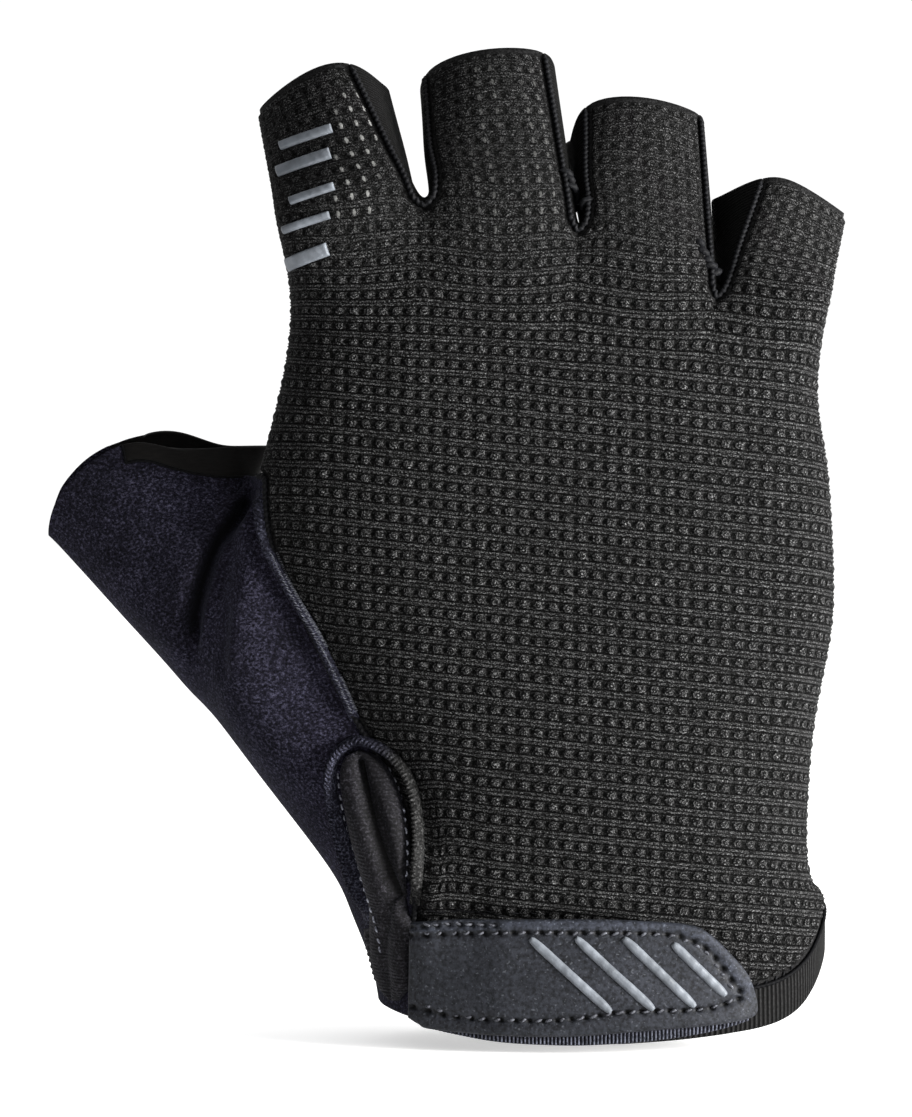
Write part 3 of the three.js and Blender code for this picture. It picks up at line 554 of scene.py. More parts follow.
# The tone of the knit over one row, from the middle of its tufts to the next row's: painted shade in the
# grooves beside the fine ribs, lighter on the ribs.
ROW_SHADING = [(0.0, 1.1), (0.2, 1.1), (0.25, 0.1), (0.3, 0.1), (0.35, 1.3), (0.45, 1.3), (0.48, 0.2),
             (0.52, 0.2), (0.55, 1.3), (0.65, 1.3), (0.7, 0.08), (0.75, 0.08), (0.8, 1.1)]
# The tone round one tuft by the distance from its middle, as a share of its half size: a painted highlight
# in the middle and rings of painted shade round it.
TUFT_SHADING = [(0.0, 1.35), (0.12, 1.35), (0.19, 0.35), (0.25, 0.4), (0.32, 1.5), (0.42, 1.4), (0.5, 0.25),
              (0.59, 0.25), (0.7, 1.0)]
TUFT_HALF = {"across": 0.8, "along": 0.72}
LOOPS = 4200.0
# A thread's dark and light colour for each part of its tone.
THREAD_TONES = [(0.4, 0.42, 0.55), (2.2, 2.3, 2.7)]


def knit_material():
    """Charcoal mesh knit: fuzzy loops, tufts with a painted highlight and a hook of painted shade, pores
    and the lines between rows darkened with painted shade.
    """
    s = Shader("knit_mesh")
    place = s.objects_place()
    yarn = s.noise(place, YARN, 2.0, 0.75)
    coarse = s.noise(place, 1100.0, 1.0, 0.5)
    loops = s.add("ShaderNodeTexVoronoi", {"Vector": place, "Scale": LOOPS}).outputs["Distance"]
    shift = s.math("MULTIPLY", s.math("SUBTRACT", yarn, 0.5), 0.2)
    along = s.math("ADD", s.attribute("along"), shift)
    across = s.math("ADD", s.attribute("across"), shift)
    lines = s.greys(s.math("FRACT", along), ROW_SHADING)

    # Where a place lies in its tuft, from -1 to 1 at the tuft's edges.
    aside = s.math("SUBTRACT", s.math("FRACT", across), 0.5)
    aside = s.math("MULTIPLY", aside, REPEAT_ACROSS / TUFT_HALF["across"])
    above = s.math("SUBTRACT", s.math("FRACT", s.math("ADD", along, 0.5)), 0.5)
    above = s.math("MULTIPLY", above, REPEAT_ALONG / TUFT_HALF["along"])
    apart = s.math("SQRT", s.math("ADD", s.math("POWER", aside, 2.0), s.math("POWER", above, 2.0)))
    tuft_shading = s.greys(s.math("MULTIPLY", apart, 0.5), TUFT_SHADING)
    # The tuft's painted shade and highlight lie in full on its left and lower side, away from the light,
    # and mostly fade on the other.
    opening = s.math("ADD", aside, s.math("MULTIPLY", above, 0.6))
    opening = s.math("ADD", s.math("MULTIPLY", opening, 0.3), 0.5)
    shaded_side = s.greys(opening, [(0.45, 1), (0.72, 0.25)])
    tuft_shading = s.blend(shaded_side, (1, 1, 1), tuft_shading)

    # The relief attribute is the stitches' tone: painted shade in the pores, a painted highlight on the
    # tufts and ribs.
    colour = s.ramp(s.attribute("relief"), (0.0, (0.0007, 0.0007, 0.0007)), (0.25, (0.005, 0.005, 0.005)),
                    (0.5, (0.018, 0.018, 0.0182)), (1.0, (0.036, 0.036, 0.0365)))
    # The yarn's speckle, partly painted glints standing in for tiny specular highlights.
    yarn_speckle_and_glints = s.greys(yarn, [(0.37, 0.3), (0.5, 1.0), (0.64, 2.4)])
    loop = s.greys(loops, [(0.0, 3.4), (0.3, 1.6), (0.58, 0.15)])
    patches = s.greys(coarse, [(0.3, 0.7), (0.7, 1.3)])
    # The stretched knit of the fingers is smoother and a little darker.
    calm = s.attribute("calm")
    lines = s.blend(calm, lines, (0.68, 0.68, 0.68))
    tuft_shading = s.blend(calm, tuft_shading, (0.8, 0.8, 0.8))
    for tone in (yarn_speckle_and_glints, loop, patches, lines, tuft_shading):
        colour = s.times(colour, tone)
    # Pale dashes on the tufts: painted highlights where the attribute asks for them.
    narrow = s.math("POWER", s.math("MULTIPLY", aside, 2.3), 2.0)
    dash = s.math("SQRT", s.math("ADD", narrow, s.math("POWER", s.math("MULTIPLY", above, 0.85), 2.0)))
    dash = s.greys(dash, [(0.55, 1.0), (0.85, 0.0)])
    dash = s.times(dash, s.greys(s.attribute("tuft_highlight"), [(0.0, 0.0), (1.0, 1.0)]))
    colour = s.blend(dash, colour, (0.2, 0.2, 0.195))
    normal = s.bump(lines, 0.6, 0.22, s.bump(tuft_shading, 0.5, 0.2))
    normal = s.bump(loops, 0.6, -0.12, s.bump(yarn, 0.6, 0.25, normal))
    return s.finish(colour, 0.85, normal, specular=0.05)


def plain_knit_material():
    """The same cloth where no stitch relief lies on it: edges and the inside."""
    s = Shader("knit_plain")
    place = s.objects_place()
    yarn = s.noise(place, YARN, 2.0, 0.7)
    rows = s.add("ShaderNodeTexWave", {"Vector": place, "Scale": 330.0, "Distortion": 0.6, "Detail": 1.0},
                 bands_direction="Z").outputs["Fac"]
    colour = s.ramp(yarn, (0.35, (0.003, 0.003, 0.003)), (0.7, (0.018, 0.018, 0.0185)))
    return s.finish(colour, 0.9, s.bump(yarn, 0.5, 0.2, s.bump(rows, 0.4, 0.2)), specular=0.04)


def suede_material():
    """Napped microfibre: navy-black with a short bluish pile that lies across the hand."""
    s = Shader("suede")
    place = s.objects_place()
    nap = s.noise(s.stretched(place, (0.75, 1, 1), (0, 0.3, 0)), NAP, 4.0, 0.8)
    patches = s.noise(place, 90.0, 3.0, 0.6)
    colour = s.ramp(nap, (0.38, (0.002, 0.0018, 0.003)), (0.52, (0.0092, 0.0085, 0.0138)),
                    (0.7, (0.058, 0.056, 0.085)))
    shade = s.ramp(patches, (0.3, (0.6, 0.6, 0.62)), (0.7, (1.25, 1.25, 1.3)))
    # The shade attribute blends the suede towards near black: painted shade in the thumb's creases.
    colour = s.blend(s.attribute("shade"), s.times(colour, shade), (0.0008, 0.0008, 0.0012))
    return s.finish(colour, 0.95, s.bump(nap, 0.75, 0.3), sheen=0.03, sheen_tint=(0.6, 0.65, 0.95),
                    specular=0.05)


def binding_material():
    s = Shader("stretch_binding")
    place = s.objects_place()
    weave = s.noise(s.stretched(place, (0.4, 1, 2.5)), 1500.0, 2.0)
    colour = s.ramp(weave, (0.3, (0.001, 0.0009, 0.0008)), (0.75, (0.0036, 0.0032, 0.0029)))
    return s.finish(colour, 0.7, s.bump(weave, 0.4, 0.15), specular=0.1)


def ribbed_material(name, dark, light, axis_scale, attribute=None):
    """Fine ribs, either round the piece by an attribute or across the finger, with painted shade in their
    grooves and lighter crests.
    """
    s = Shader(name)
    place = s.objects_place()
    yarn = s.noise(place, YARN, 2.0, 0.7)
    if attribute:
        along = s.attribute(attribute)
    else:
        along = s.add("ShaderNodeSeparateXYZ", {0: s.stretched(place, (1, 1, 1), (0.5, 0.1, 0))}).outputs[2]
    wobble = s.math("MULTIPLY", s.noise(place, 300.0, 1.0), 0.8)
    turns = s.math("ADD", s.math("MULTIPLY", along, axis_scale), wobble)
    rib = s.math("MULTIPLY", s.math("ADD", s.math("SINE", turns), 1.0), 0.5)
    # The colour runs from dark in the grooves to light on the crests, in step with the rib bump: painted
    # shade.
    colour = s.blend(rib, dark, light)
    colour = s.blend(0.5, colour, s.greys(yarn, [(0.35, 0.3), (0.7, 2.0)]), "MULTIPLY")
    return s.finish(colour, 0.85, s.bump(yarn, 0.3, 0.12, s.bump(rib, 0.9, 0.25)), specular=0.06)


def strap_material():
    """Coated synthetic leather, slate grey with tiny pale specks, with painted shade in its needle holes
    and stitched grooves.
    """
    s = Shader("strap_skin")
    place = s.objects_place()
    grain = s.noise(place, 1500.0, 3.0, 0.65)
    patches = s.noise(place, 120.0, 2.0)
    specks = s.noise(place, 2600.0, 0.0)
    colour = s.ramp(patches, (0.3, (0.0092, 0.0102, 0.0132)), (0.7, (0.0138, 0.015, 0.019)))
    colour = s.times(colour, s.greys(grain, [(0.36, 0.4), (0.64, 1.75)]))
    colour = s.blend(s.greys(specks, [(0.7, 0), (0.82, 0.3)]), colour, (0.13, 0.14, 0.16))
    # The tone attribute darkens the needle holes and grooves with painted shade and lightens the band along
    # the top edge.
    tone = s.ramp(s.attribute("tone"), (0.0, (0.02, 0.02, 0.02)), (0.5, (1, 1, 1)), (1.0, (1.9, 1.95, 2.1)))
    return s.finish(s.times(colour, tone), 0.6, s.bump(grain, 0.5, 0.14), specular=0.14)


def strap_rib_material():
    """Corded backing of the strap: bluish grey ribs, with painted shade darkening the grooves between them.
    """
    s = Shader("strap_ribbing")
    yarn = s.noise(s.objects_place(), 2400.0, 2.0, 0.7)
    # The tone attribute runs from painted shade in the grooves to lighter rib crests.
    ribs = s.ramp(s.attribute("tone"), (0.1, (0.004, 0.004, 0.006)), (0.45, (0.022, 0.0235, 0.031)),
                  (0.9, (0.055, 0.058, 0.074)))
    fuzz = s.greys(yarn, [(0.36, 0.35), (0.64, 1.9)])
    return s.finish(s.times(ribs, fuzz), 0.8, s.bump(yarn, 0.5, 0.15), specular=0.08)


def roll_material():
    """Tricot rolled over a seam: navy, or the knit's grey where the attribute says so."""
    s = Shader("rolled_cloth")
    place = s.objects_place()
    yarn = s.noise(place, 2400.0, 3.0, 0.75)
    grey = s.attribute("tone")
    blue = s.ramp(yarn, (0.36, (0.002, 0.002, 0.0035)), (0.52, (0.011, 0.011, 0.018)),
                  (0.7, (0.075, 0.078, 0.11)))
    knit = s.greys(yarn, [(0.36, 0.002), (0.52, 0.012), (0.7, 0.07)])
    return s.finish(s.blend(grey, blue, knit), 0.8, s.bump(yarn, 0.8, 0.25), specular=0.08)


def tricot_material():
    """Brushed tricot with a soft shine and fine cross ribs."""
    s = Shader("gusset_tricot")
    place = s.objects_place()
    yarn = s.noise(place, 2300.0, 3.0, 0.75)
    colour = s.ramp(yarn, (0.36, (0.001, 0.001, 0.0013)), (0.52, (0.0048, 0.0045, 0.006)),
                    (0.72, (0.04, 0.038, 0.046)))
    rows = s.add("ShaderNodeTexWave", {"Vector": place, "Scale": 480.0, "Distortion": 0.8, "Detail": 1.0},
                 bands_direction="Z").outputs["Fac"]
    normal = s.bump(yarn, 0.7, 0.25, s.bump(rows, 0.35, 0.15))
    # The tone attribute darkens the gusset with painted shade along its crease and beside it.
    colour = s.times(colour, s.greys(s.attribute("tone"), [(0.0, 0.02), (0.5, 1.0)]))
    return s.finish(colour, 0.7, normal, sheen=0.03, sheen_tint=(0.75, 0.78, 1.0), specular=0.12)


def silver_material():
    """Raised satin print with a slightly crazed, glinting surface."""
    s = Shader("silver_print")
    place = s.objects_place()
    grain = s.noise(place, 1200.0, 3.0, 0.7)
    wear = s.noise(place, 350.0, 2.0)
    colour = s.ramp(wear, (0.3, (0.08, 0.088, 0.1)), (0.7, (0.135, 0.148, 0.168)))
    return s.finish(colour, 0.45, s.bump(grain, 0.5, 0.2), specular=0.2)


def thread_material(name, tone, specular=0.25):
    s = Shader(name)
    place = s.objects_place()
    twist = s.noise(s.stretched(place, (1, 1, 1), (0, 0.7, 0)), 2600.0, 2.0)
    dark, light = ([tone * part for part in parts] for parts in THREAD_TONES)
    colour = s.ramp(twist, (0.35, dark), (0.65, light))
    return s.finish(colour, 0.6, s.bump(twist, 0.5, 0.1), specular=specular)


KNIT = knit_material()
KNIT_PLAIN = plain_knit_material()
SUEDE = suede_material()
ROLL_CLOTH = roll_material()
BINDING = binding_material()
FOURCHETTE = ribbed_material("fourchette_knit", (0.0002,) * 3, (0.0045,) * 3, 10000.0)
BACKING_RIBS = strap_rib_material()
STRAP_SKIN = strap_material()
TRICOT = tricot_material()
SILVER = silver_material()
STRAP_THREAD = thread_material("strap_thread", 0.035)
DARK_THREAD = thread_material("dark_thread", 0.0032, 0.08)
BLACK_THREAD = thread_material("black_thread", 0.0015, 0.04)
PALE_THREAD = thread_material("pale_thread", 0.14)
NAP_THREAD = thread_material("nap_thread", 0.06)


# Pieces. A new mesh takes places in millimetres.
def new_piece(name, vertices, faces, material, replaces=(), attributes=None):
    mesh = bpy.data.meshes.new(name)
    mesh.from_pydata((np.asarray(vertices) * MM).tolist(), [], np.asarray(faces).tolist())
    mesh.update()
    mesh.shade_smooth()
    for key, values in (attributes or {}).items():
        layer = mesh.attributes.new(key, "FLOAT", "POINT")
        layer.data.foreach_set("value", np.asarray(values, np.float32))
    piece = bpy.data.objects.new(name, mesh)
    bpy.context.scene.collection.objects.link(piece)
    piece.data.materials.append(material)
    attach(piece, "root")
    if replaces:
        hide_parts(*replaces)
    return piece


def panel_shell(panel, wall, sink=0.0, finer=1, extra=None, shape=None):
    """A panel as a closed shell: outer faces, inner faces a wall further in and the cut edge,
    smoothed once more so that the edge is round. sink lowers the outer face, and shape moves
    the outer face by a height for each of its places."""
    quads = skin_quads[skin_panels == panel]
    used, flat = np.unique(quads, return_inverse=True)
    quads = flat.reshape(-1, 4)
    places = skin[used]
    ways_up = normals[used]
    count = len(used)
    rim = rim_edges(quads, count)
    centres = places[quads].mean(1)
    inwards = np.zeros_like(places)
    for k in range(4):
        np.add.at(inwards, quads[:, k], centres - places[quads[:, k]])
    inwards = unit(inwards - (inwards * ways_up).sum(1, keepdims=True) * ways_up)
    on_rim = np.zeros(count, bool)
    on_rim[rim.ravel()] = True
    base = places - np.where(on_rim[:, None], inwards * SEAM_OVERLAP, 0)
    vertices = np.vstack([base - ways_up * sink, base - ways_up * wall])
    edge_faces = np.stack([rim[:, 0], rim[:, 0] + count, rim[:, 1] + count, rim[:, 1]], 1)
    faces = np.vstack([quads, quads[:, ::-1] + count, edge_faces])
    channels = np.hstack([vertices, np.vstack([ways_up, ways_up])])
    if extra is not None:
        channels = np.hstack([channels, np.tile(extra[used][:, None], (2, 1))])
    for _ in range(finer):
        channels, faces = subdivide(channels, faces)
    if shape is not None:
        heights = shape(channels[:, :3], unit(channels[:, 3:6]))
        channels[:, :3] += unit(channels[:, 3:6]) * heights[:, None]
    return channels[:, :3], faces, channels[:, 6] if extra is not None else None


# The knit's stitches, as places inside one repeat. A repeat has a dark pore at its corner, a
# tuft in the middle of that row, and two fine ribs between the rows.
ROW_SLOPE = 0.105
ACROSS_STOPS = np.array([0, 0.14, 0.31, 0.5, 0.69, 0.86])
ALONG_STOPS = np.array([0, 0.13, 0.24, 0.31, 0.4, 0.5, 0.6, 0.69, 0.76, 0.87])
TUFT = {"height": 0.32, "across": 0.62, "along": 0.6}
PORE = {"depth": 0.42, "across": 0.36, "along": 0.55}
RIB = {"height": 0.22, "from_middle": 0.3, "width": 0.14}
BACK_SINK = 0.4
# The relief dips under the panel's edge there, and runs out over this distance from it.
EDGE_SINK = 0.25
SEAM_FADE = (0.5, 1.5)
RIM_REACH = 3.0
# Heights over which the rows become level, and over which the fingers' calmer knit sets in.
SLOPE_END = (98, 132)
FINGER_FADE = (116, 134)
FINGER_FLATTER = 0.55
FINGER_CALM = 0.55
# The row of the knit at which its relief is parted into two pieces.
RELIEF_SPLIT = 32
# Keeps the counts of repeats, which the material takes fractions of, above zero.
REPEATS_AHEAD = 50


def knit_coordinates():
    """Across and along on the knit's lattice for each fine vertex of the back panel."""
    is_back = panels_0 == "back_panel"
    quads = quads_0[is_back]
    used, flat = np.unique(quads, return_inverse=True)
    quads = flat.reshape(-1, 4)
    places = fit_through_cage(np.array([flat_cloth[corner] for corner in used.tolist()], float), quads)
    for _ in range(SKIN_LEVEL):
        places, quads = subdivide(places, quads)
    lattice = np.zeros((len(skin), 2))
    lattice[skin_quads[skin_panels == "back_panel"].ravel()] = places[quads.ravel()]
    slope = ROW_SLOPE * (1 - smoothstep(*SLOPE_END, lattice[:, 1]))
    across = lattice[:, 0] / REPEAT_ACROSS
    along = (lattice[:, 1] + slope * lattice[:, 0]) / REPEAT_ALONG
    return np.stack([across, along], 1)


def rim_distance(panel):
    """How far each fine vertex of a panel lies from the panel's edge, up to RIM_REACH."""
    quads = skin_quads[skin_panels == panel]
    rim = rim_edges(quads, len(skin))
    tree = KDTree(2 * len(rim))
    for number, (a, b) in enumerate(rim):
        tree.insert(skin[a], 2 * number)
        tree.insert((skin[a] + skin[b]) / 2, 2 * number + 1)
    tree.balance()
    distance = np.full(len(skin), RIM_REACH)
    for corner in np.unique(quads):
        distance[corner] = min(RIM_REACH, tree.find(skin[corner])[2])
    return distance


def stitch_relief(across, along):
    """The height of the knit, and its tone with painted shade in the pores and a painted highlight on the
    tufts and ribs, at places on the lattice.
    """
    from_pore = np.abs((across + 0.5) % 1 - 0.5) * REPEAT_ACROSS
    from_tuft = np.abs(across % 1 - 0.5) * REPEAT_ACROSS
    from_row = np.abs((along + 0.5) % 1 - 0.5) * REPEAT_ALONG
    from_middle = np.abs(along % 1 - 0.5) * REPEAT_ALONG
    tuft = bell(from_tuft, TUFT["across"]) * bell(from_row, TUFT["along"])
    pore = bell(from_pore, PORE["across"]) * bell(from_row, PORE["along"])
    rib = bell(from_middle - RIB["from_middle"], RIB["width"])
    height = TUFT["height"] * tuft - PORE["depth"] * pore + RIB["height"] * rib
    tone = np.clip(0.5 + 0.22 * tuft + 0.1 * rib - 0.52 * pore, 0, 1)
    return height, tone


# Where the stretched knit of the fingers gets painted highlights on its tufts, in the front view.
Patch = namedtuple("Patch", "left right low high amount")
HIGHLIGHT_PATCHES = [Patch(-44.6, -37.6, 132.0, 153.5, 0.9), Patch(-22.0, -17.0, 128.0, 160.0, 0.16),
                Patch(-13.0, -7.0, 128.0, 158.0, 0.2), Patch(22.0, 40.0, 122.0, 137.0, 0.08)]


def paleness(places):
    amount = np.zeros(len(places))
    x, z = places[:, 0], places[:, 2]
    for patch in HIGHLIGHT_PATCHES:
        inside = smoothstep(patch.left - 1, patch.left + 1, x)
        inside *= 1 - smoothstep(patch.right - 1, patch.right + 1, x)
        inside *= smoothstep(patch.low - 4, patch.low + 4, z)
        inside *= 1 - smoothstep(patch.high - 2, patch.high + 2, z)
        amount = np.maximum(amount, patch.amount * inside)
    return amount * (places[:, 1] < 4)


def lattice_patch(quads, lattice, values, lines):
    """The lattice's nodes that lie in these quads: a mask and their values."""
    triangles = np.vstack([quads[:, [0, 1, 2]], quads[:, [0, 2, 3]]])
    corners = lattice[triangles]
    mask = np.zeros((len(lines[0]), len(lines[1])), bool)
    found = np.zeros((*mask.shape, values.shape[1]))
    lows = [np.searchsorted(lines[k], corners[:, :, k].min(1) - 1e-9) for k in (0, 1)]
    highs = [np.searchsorted(lines[k], corners[:, :, k].max(1) + 1e-9, "right") for k in (0, 1)]
    spans = [high - low for low, high in zip(lows, highs)]
    counts = spans[0] * spans[1]
    which = np.repeat(np.arange(len(triangles)), counts)
    step = np.arange(counts.sum()) - np.repeat(np.cumsum(counts) - counts, counts)
    i = lows[0][which] + step % spans[0][which]
    j = lows[1][which] + step // spans[0][which]
    place = np.stack([lines[0][i], lines[1][j]], 1)
    a, b, c = (corners[which, k] for k in range(3))
    ab, ac, ap = b - a, c - a, place - a
    area = ab[:, 0] * ac[:, 1] - ab[:, 1] * ac[:, 0]
    area = np.where(np.abs(area) < 1e-12, 1e-12, area)
    v = (ap[:, 0] * ac[:, 1] - ap[:, 1] * ac[:, 0]) / area
    w = (ab[:, 0] * ap[:, 1] - ab[:, 1] * ap[:, 0]) / area
    inside = np.minimum(np.minimum(v, w), 1 - v - w) > -1e-6
    i, j, v, w, which = i[inside], j[inside], v[inside, None], w[inside, None], which[inside]
    corner_values = values[triangles[which]]
    mask[i, j] = True
    found[i, j] = (1 - v - w) * corner_values[:, 0] + v * corner_values[:, 1] + w * corner_values[:, 2]
    return mask, found


def lattice_lines(lattice):
    """The lattice's lines that the back panel reaches, across and along."""
    used = np.unique(skin_quads[skin_panels == "back_panel"])
    lines = []
    for k, stops in ((0, ACROSS_STOPS), (1, ALONG_STOPS)):
        low, high = lattice[used, k].min(), lattice[used, k].max()
        cells = np.arange(math.floor(low), math.ceil(high) + 1)
        lines.append((cells[:, None] + stops).ravel())
    return lines


def lattice_mesh(lattice, lines, values):
    """The lattice's nodes on the hand and on each finger, joined: their values, spots and faces."""
    is_back = skin_panels == "back_panel"
    masks, founds = [], []
    for finger in range(len(FINGERS) + 1):
        mask, found = lattice_patch(skin_quads[is_back & (skin_finger == finger)], lattice, values, lines)
        masks.append(mask)
        founds.append(found)
    ids = [np.full(masks[0].shape, -1) for _ in masks]
    ids[0][masks[0]] = np.arange(masks[0].sum())
    nodes = [founds[0][masks[0]]]
    spots = [np.argwhere(masks[0])]
    total = len(nodes[0])
    for finger in range(1, len(masks)):
        own = masks[finger] & ~masks[0]
        ids[finger][own] = total + np.arange(own.sum())
        ids[finger][masks[0]] = ids[0][masks[0]]
        nodes.append(founds[finger][own])
        spots.append(np.argwhere(own))
        total += own.sum()
    faces = []
    for finger, grid in enumerate(ids):
        corners = np.stack([grid[:-1, :-1], grid[1:, :-1], grid[1:, 1:], grid[:-1, 1:]], -1).reshape(-1, 4)
        whole = (corners >= 0).all(1)
        if finger:
            whole &= (corners >= len(nodes[0])).any(1)
        faces.append(corners[whole])
    return np.vstack(nodes), np.vstack(spots), np.vstack(faces)


def build_knit_relief():
    lattice = knit_coordinates()
    lines = lattice_lines(lattice)
    values = np.hstack([skin, normals, rim_distance("back_panel")[:, None]])
    nodes, spots, faces = lattice_mesh(lattice, lines, values)
    across, along = lines[0][spots[:, 0]], lines[1][spots[:, 1]]
    height, tone = stitch_relief(across, along)
    places, ways_up, distance = nodes[:, :3], unit(nodes[:, 3:6]), nodes[:, 6]
    fade = smoothstep(*SEAM_FADE, distance)
    on_finger = smoothstep(*FINGER_FADE, places[:, 2])
    height = height * (1 - FINGER_FLATTER * on_finger)
    lift = height * fade - (BACK_SINK + EDGE_SINK) * (1 - fade) + knit_folds(places)
    facing = np.cross(places[faces[:, 2]] - places[faces[:, 0]], places[faces[:, 3]] - places[faces[:, 1]])
    turned = (facing * ways_up[faces[:, 0]]).sum(1) < 0
    faces[turned] = faces[turned][:, ::-1]
    # relief holds the stitches' tone, with painted shade in the pores and a painted highlight on the tufts
    # and ribs.
    attributes = {"relief": tone * fade, "tuft_highlight": fade * paleness(places), "calm": FINGER_CALM * on_finger,
                  "across": across + REPEATS_AHEAD, "along": along + REPEATS_AHEAD}
    vertices = places + ways_up * lift[:, None]
    is_high = (along[faces] >= RELIEF_SPLIT).all(1)
    for name, part in (("knit_hand_relief", faces[~is_high]), ("knit_finger_relief", faces[is_high])):
        used, flat = np.unique(part, return_inverse=True)
        new_piece(name, vertices[used], flat.reshape(-1, 4), KNIT,
                  attributes={key: values[used] for key, values in attributes.items()})


# Creases in the cloth of the thumb, in the front view: a groove with a lip on its right.
Crease = namedtuple("Crease", "path depth width lip")
THUMB_CREASES = [
    Crease([(-58.9, 87.6), (-60.9, 83.9), (-62.8, 81.0), (-65.3, 77.0), (-67.3, 71.3), (-69.0, 64.6),
            (-69.8, 57.2)], 3.0, 1.5, 1.0),
    Crease([(-62.6, 68.5), (-63.6, 59.2), (-63.1, 51.9)], 0.55, 1.0, 0.25),
    Crease([(-78.0, 79.0), (-73.5, 69.5), (-70.5, 60.0)], 0.5, 2.4, 0.0),
]
# Places nearer the front view than this lie on the back of the thumb.
THUMB_MIDDLE_Y = 4.0
# A crease as deep as this gets the darkest painted shade.
FULL_SHADE_DEPTH = 3


def beside_fold(path, places, fade_in, fade_out):
    """How far places are from a fold, and how much of it is there, as it runs out at its ends."""
    path = smooth_path(path)
    away, along = beside_path(path, places[:, 0], places[:, 2])
    return away, smoothstep(0, fade_in, along) * smoothstep(0, fade_out, path_lengths(path)[-1] - along)


def crease_shade(places):
    """Painted shade for each place of the thumb's outer face, by how deep in a crease it lies."""
    shade = np.zeros(len(places))
    for crease in THUMB_CREASES:
        away, ends = beside_fold(crease.path, places, 4, 8)
        darkest = min(1, crease.depth / FULL_SHADE_DEPTH)
        shade = np.maximum(shade, darkest * ends * bell(away, 1.1 * crease.width))
    return shade * (places[:, 1] < THUMB_MIDDLE_Y)


def thumb_creases(places, ups):
    grown = np.zeros(len(places))
    for crease in THUMB_CREASES:
        away, ends = beside_fold(crease.path, places, 3, 5)
        # The path runs down, so the lip on its right in the view is on the left of its way.
        grown -= crease.depth * ends * bell(away, crease.width)
        grown += crease.lip * ends * bell(away - 1.7 * crease.width, 0.8 * crease.width)
    return np.where(ups[:, 1] < -0.1, grown, 0)


# The knit bulges over the strap's upper edge, past a dark gap.
Fold = namedtuple("Fold", "path height width")
KNIT_FOLDS = [
    Fold([(-31.0, 18.6), (-20.0, 19.0), (-6.0, 18.6), (6.0, 17.6)], 0.9, 1.9),
    Fold([(-31.0, 15.6), (-20.0, 15.7), (-6.0, 15.6), (8.0, 15.2)], -1.3, 1.1),
]


def knit_folds(places, ups=None):
    grown = np.zeros(len(places))
    for fold in KNIT_FOLDS:
        away, ends = beside_fold(fold.path, places, 3, 8)
        grown += fold.height * ends * bell(away, fold.width)
    return np.where(places[:, 1] < 0, grown, 0)


def build_panels():
    vertices, faces, _ = panel_shell("back_panel", KNIT_WALL, sink=BACK_SINK, finer=0, shape=knit_folds)
    new_piece("back_panel_cloth", vertices, faces, KNIT_PLAIN, ["back_panel"])
    build_knit_relief()
    for panel, wall, material, slot in (("palm_panel", SUEDE_WALL, SUEDE, "suede"),
                                        ("thumb_panel", SUEDE_WALL, SUEDE, "suede"),
                                        ("thumb_binding", BINDING_WALL, BINDING, "stretch_binding"),
                                        *((name, FOURCHETTE_WALL, FOURCHETTE, "fourchette_knit")
                                          for name in FOURCHETTES)):
        vertices, faces, _ = panel_shell(panel, wall, finer=0 if panel == "palm_panel" else 1,
                                         shape=thumb_creases if panel == "thumb_panel" else None)
        # Painted shade darkens the thumb's suede along its creases.
        shade = crease_shade(vertices) if panel == "thumb_panel" else np.zeros(len(vertices))
        new_piece(panel + "_cloth", vertices, faces, material, [panel], {"shade": shade})
    around = np.arctan2(skin[:, 1] / WRIST_OVAL["half_deep"], skin[:, 0] / WRIST_OVAL["half_wide"])
    around *= WRIST_OVAL["mean_radius"] * MM
    vertices, faces, extra = panel_shell("wrist_hem", HEM_WALL, extra=around)
    hem = ribbed_material("ribbed_hem", (0.001, 0.001, 0.001), (0.012, 0.012, 0.0122), 8400.0, "around")
    new_piece("wrist_hem_cloth", vertices, faces, hem, ["wrist_hem"], {"around": extra})


# Front-view drawing: a path is a list of (x, z) points, in millimetres.
def smooth_path(points, per_span=8):
    """The curve through the points, as many short steps."""
    points = np.array(points, float)
    padded = np.vstack([2 * points[0] - points[1], points, 2 * points[-1] - points[-2]])
    t = (np.arange(per_span) / per_span)[:, None]
    spans = []
    for before, here, after, later in zip(padded, padded[1:], padded[2:], padded[3:]):
        square = 2 * before - 5 * here + 4 * after - later
        cube = 3 * here - before - 3 * after + later
        spans.append(0.5 * (2 * here + (after - before) * t + square * t ** 2 + cube * t ** 3))
    return np.vstack([*spans, points[-1:]])


def path_lengths(path):
    return np.concatenate([[0], np.cumsum(np.linalg.norm(np.diff(path, axis=0), axis=1))])


def path_points(path, shares):
    lengths = path_lengths(path)
    columns = [np.interp(shares * lengths[-1], lengths, column) for column in path.T]
    return np.stack(columns, -1)


def beside_path(path, x, z):
    """How far places are from a path, left of its way counted positive, and how far along it."""
    path = np.asarray(path, float)
    lengths = path_lengths(path)
    best = np.full(x.shape, 1e9)
    along = np.zeros(x.shape)
    for (ax, az), (bx, bz), start, end in zip(path, path[1:], lengths, lengths[1:]):
        share = np.clip(((x - ax) * (bx - ax) + (z - az) * (bz - az)) / max((end - start) ** 2, 1e-9), 0, 1)
        away_x, away_z = x - ax - share * (bx - ax), z - az - share * (bz - az)
        away = np.hypot(away_x, away_z)
        side = np.where((bx - ax) * away_z - (bz - az) * away_x < 0, -1, 1)
        nearer = away < np.abs(best)
        best = np.where(nearer, away * side, best)
        along = np.where(nearer, start + share * (end - start), along)
    return best, along


SKIN_TREE = BVHTree.FromPolygons(skin.tolist(), skin_quads.tolist())
FAR_FRONT = -200.0
BEYOND_STEP = 0.5


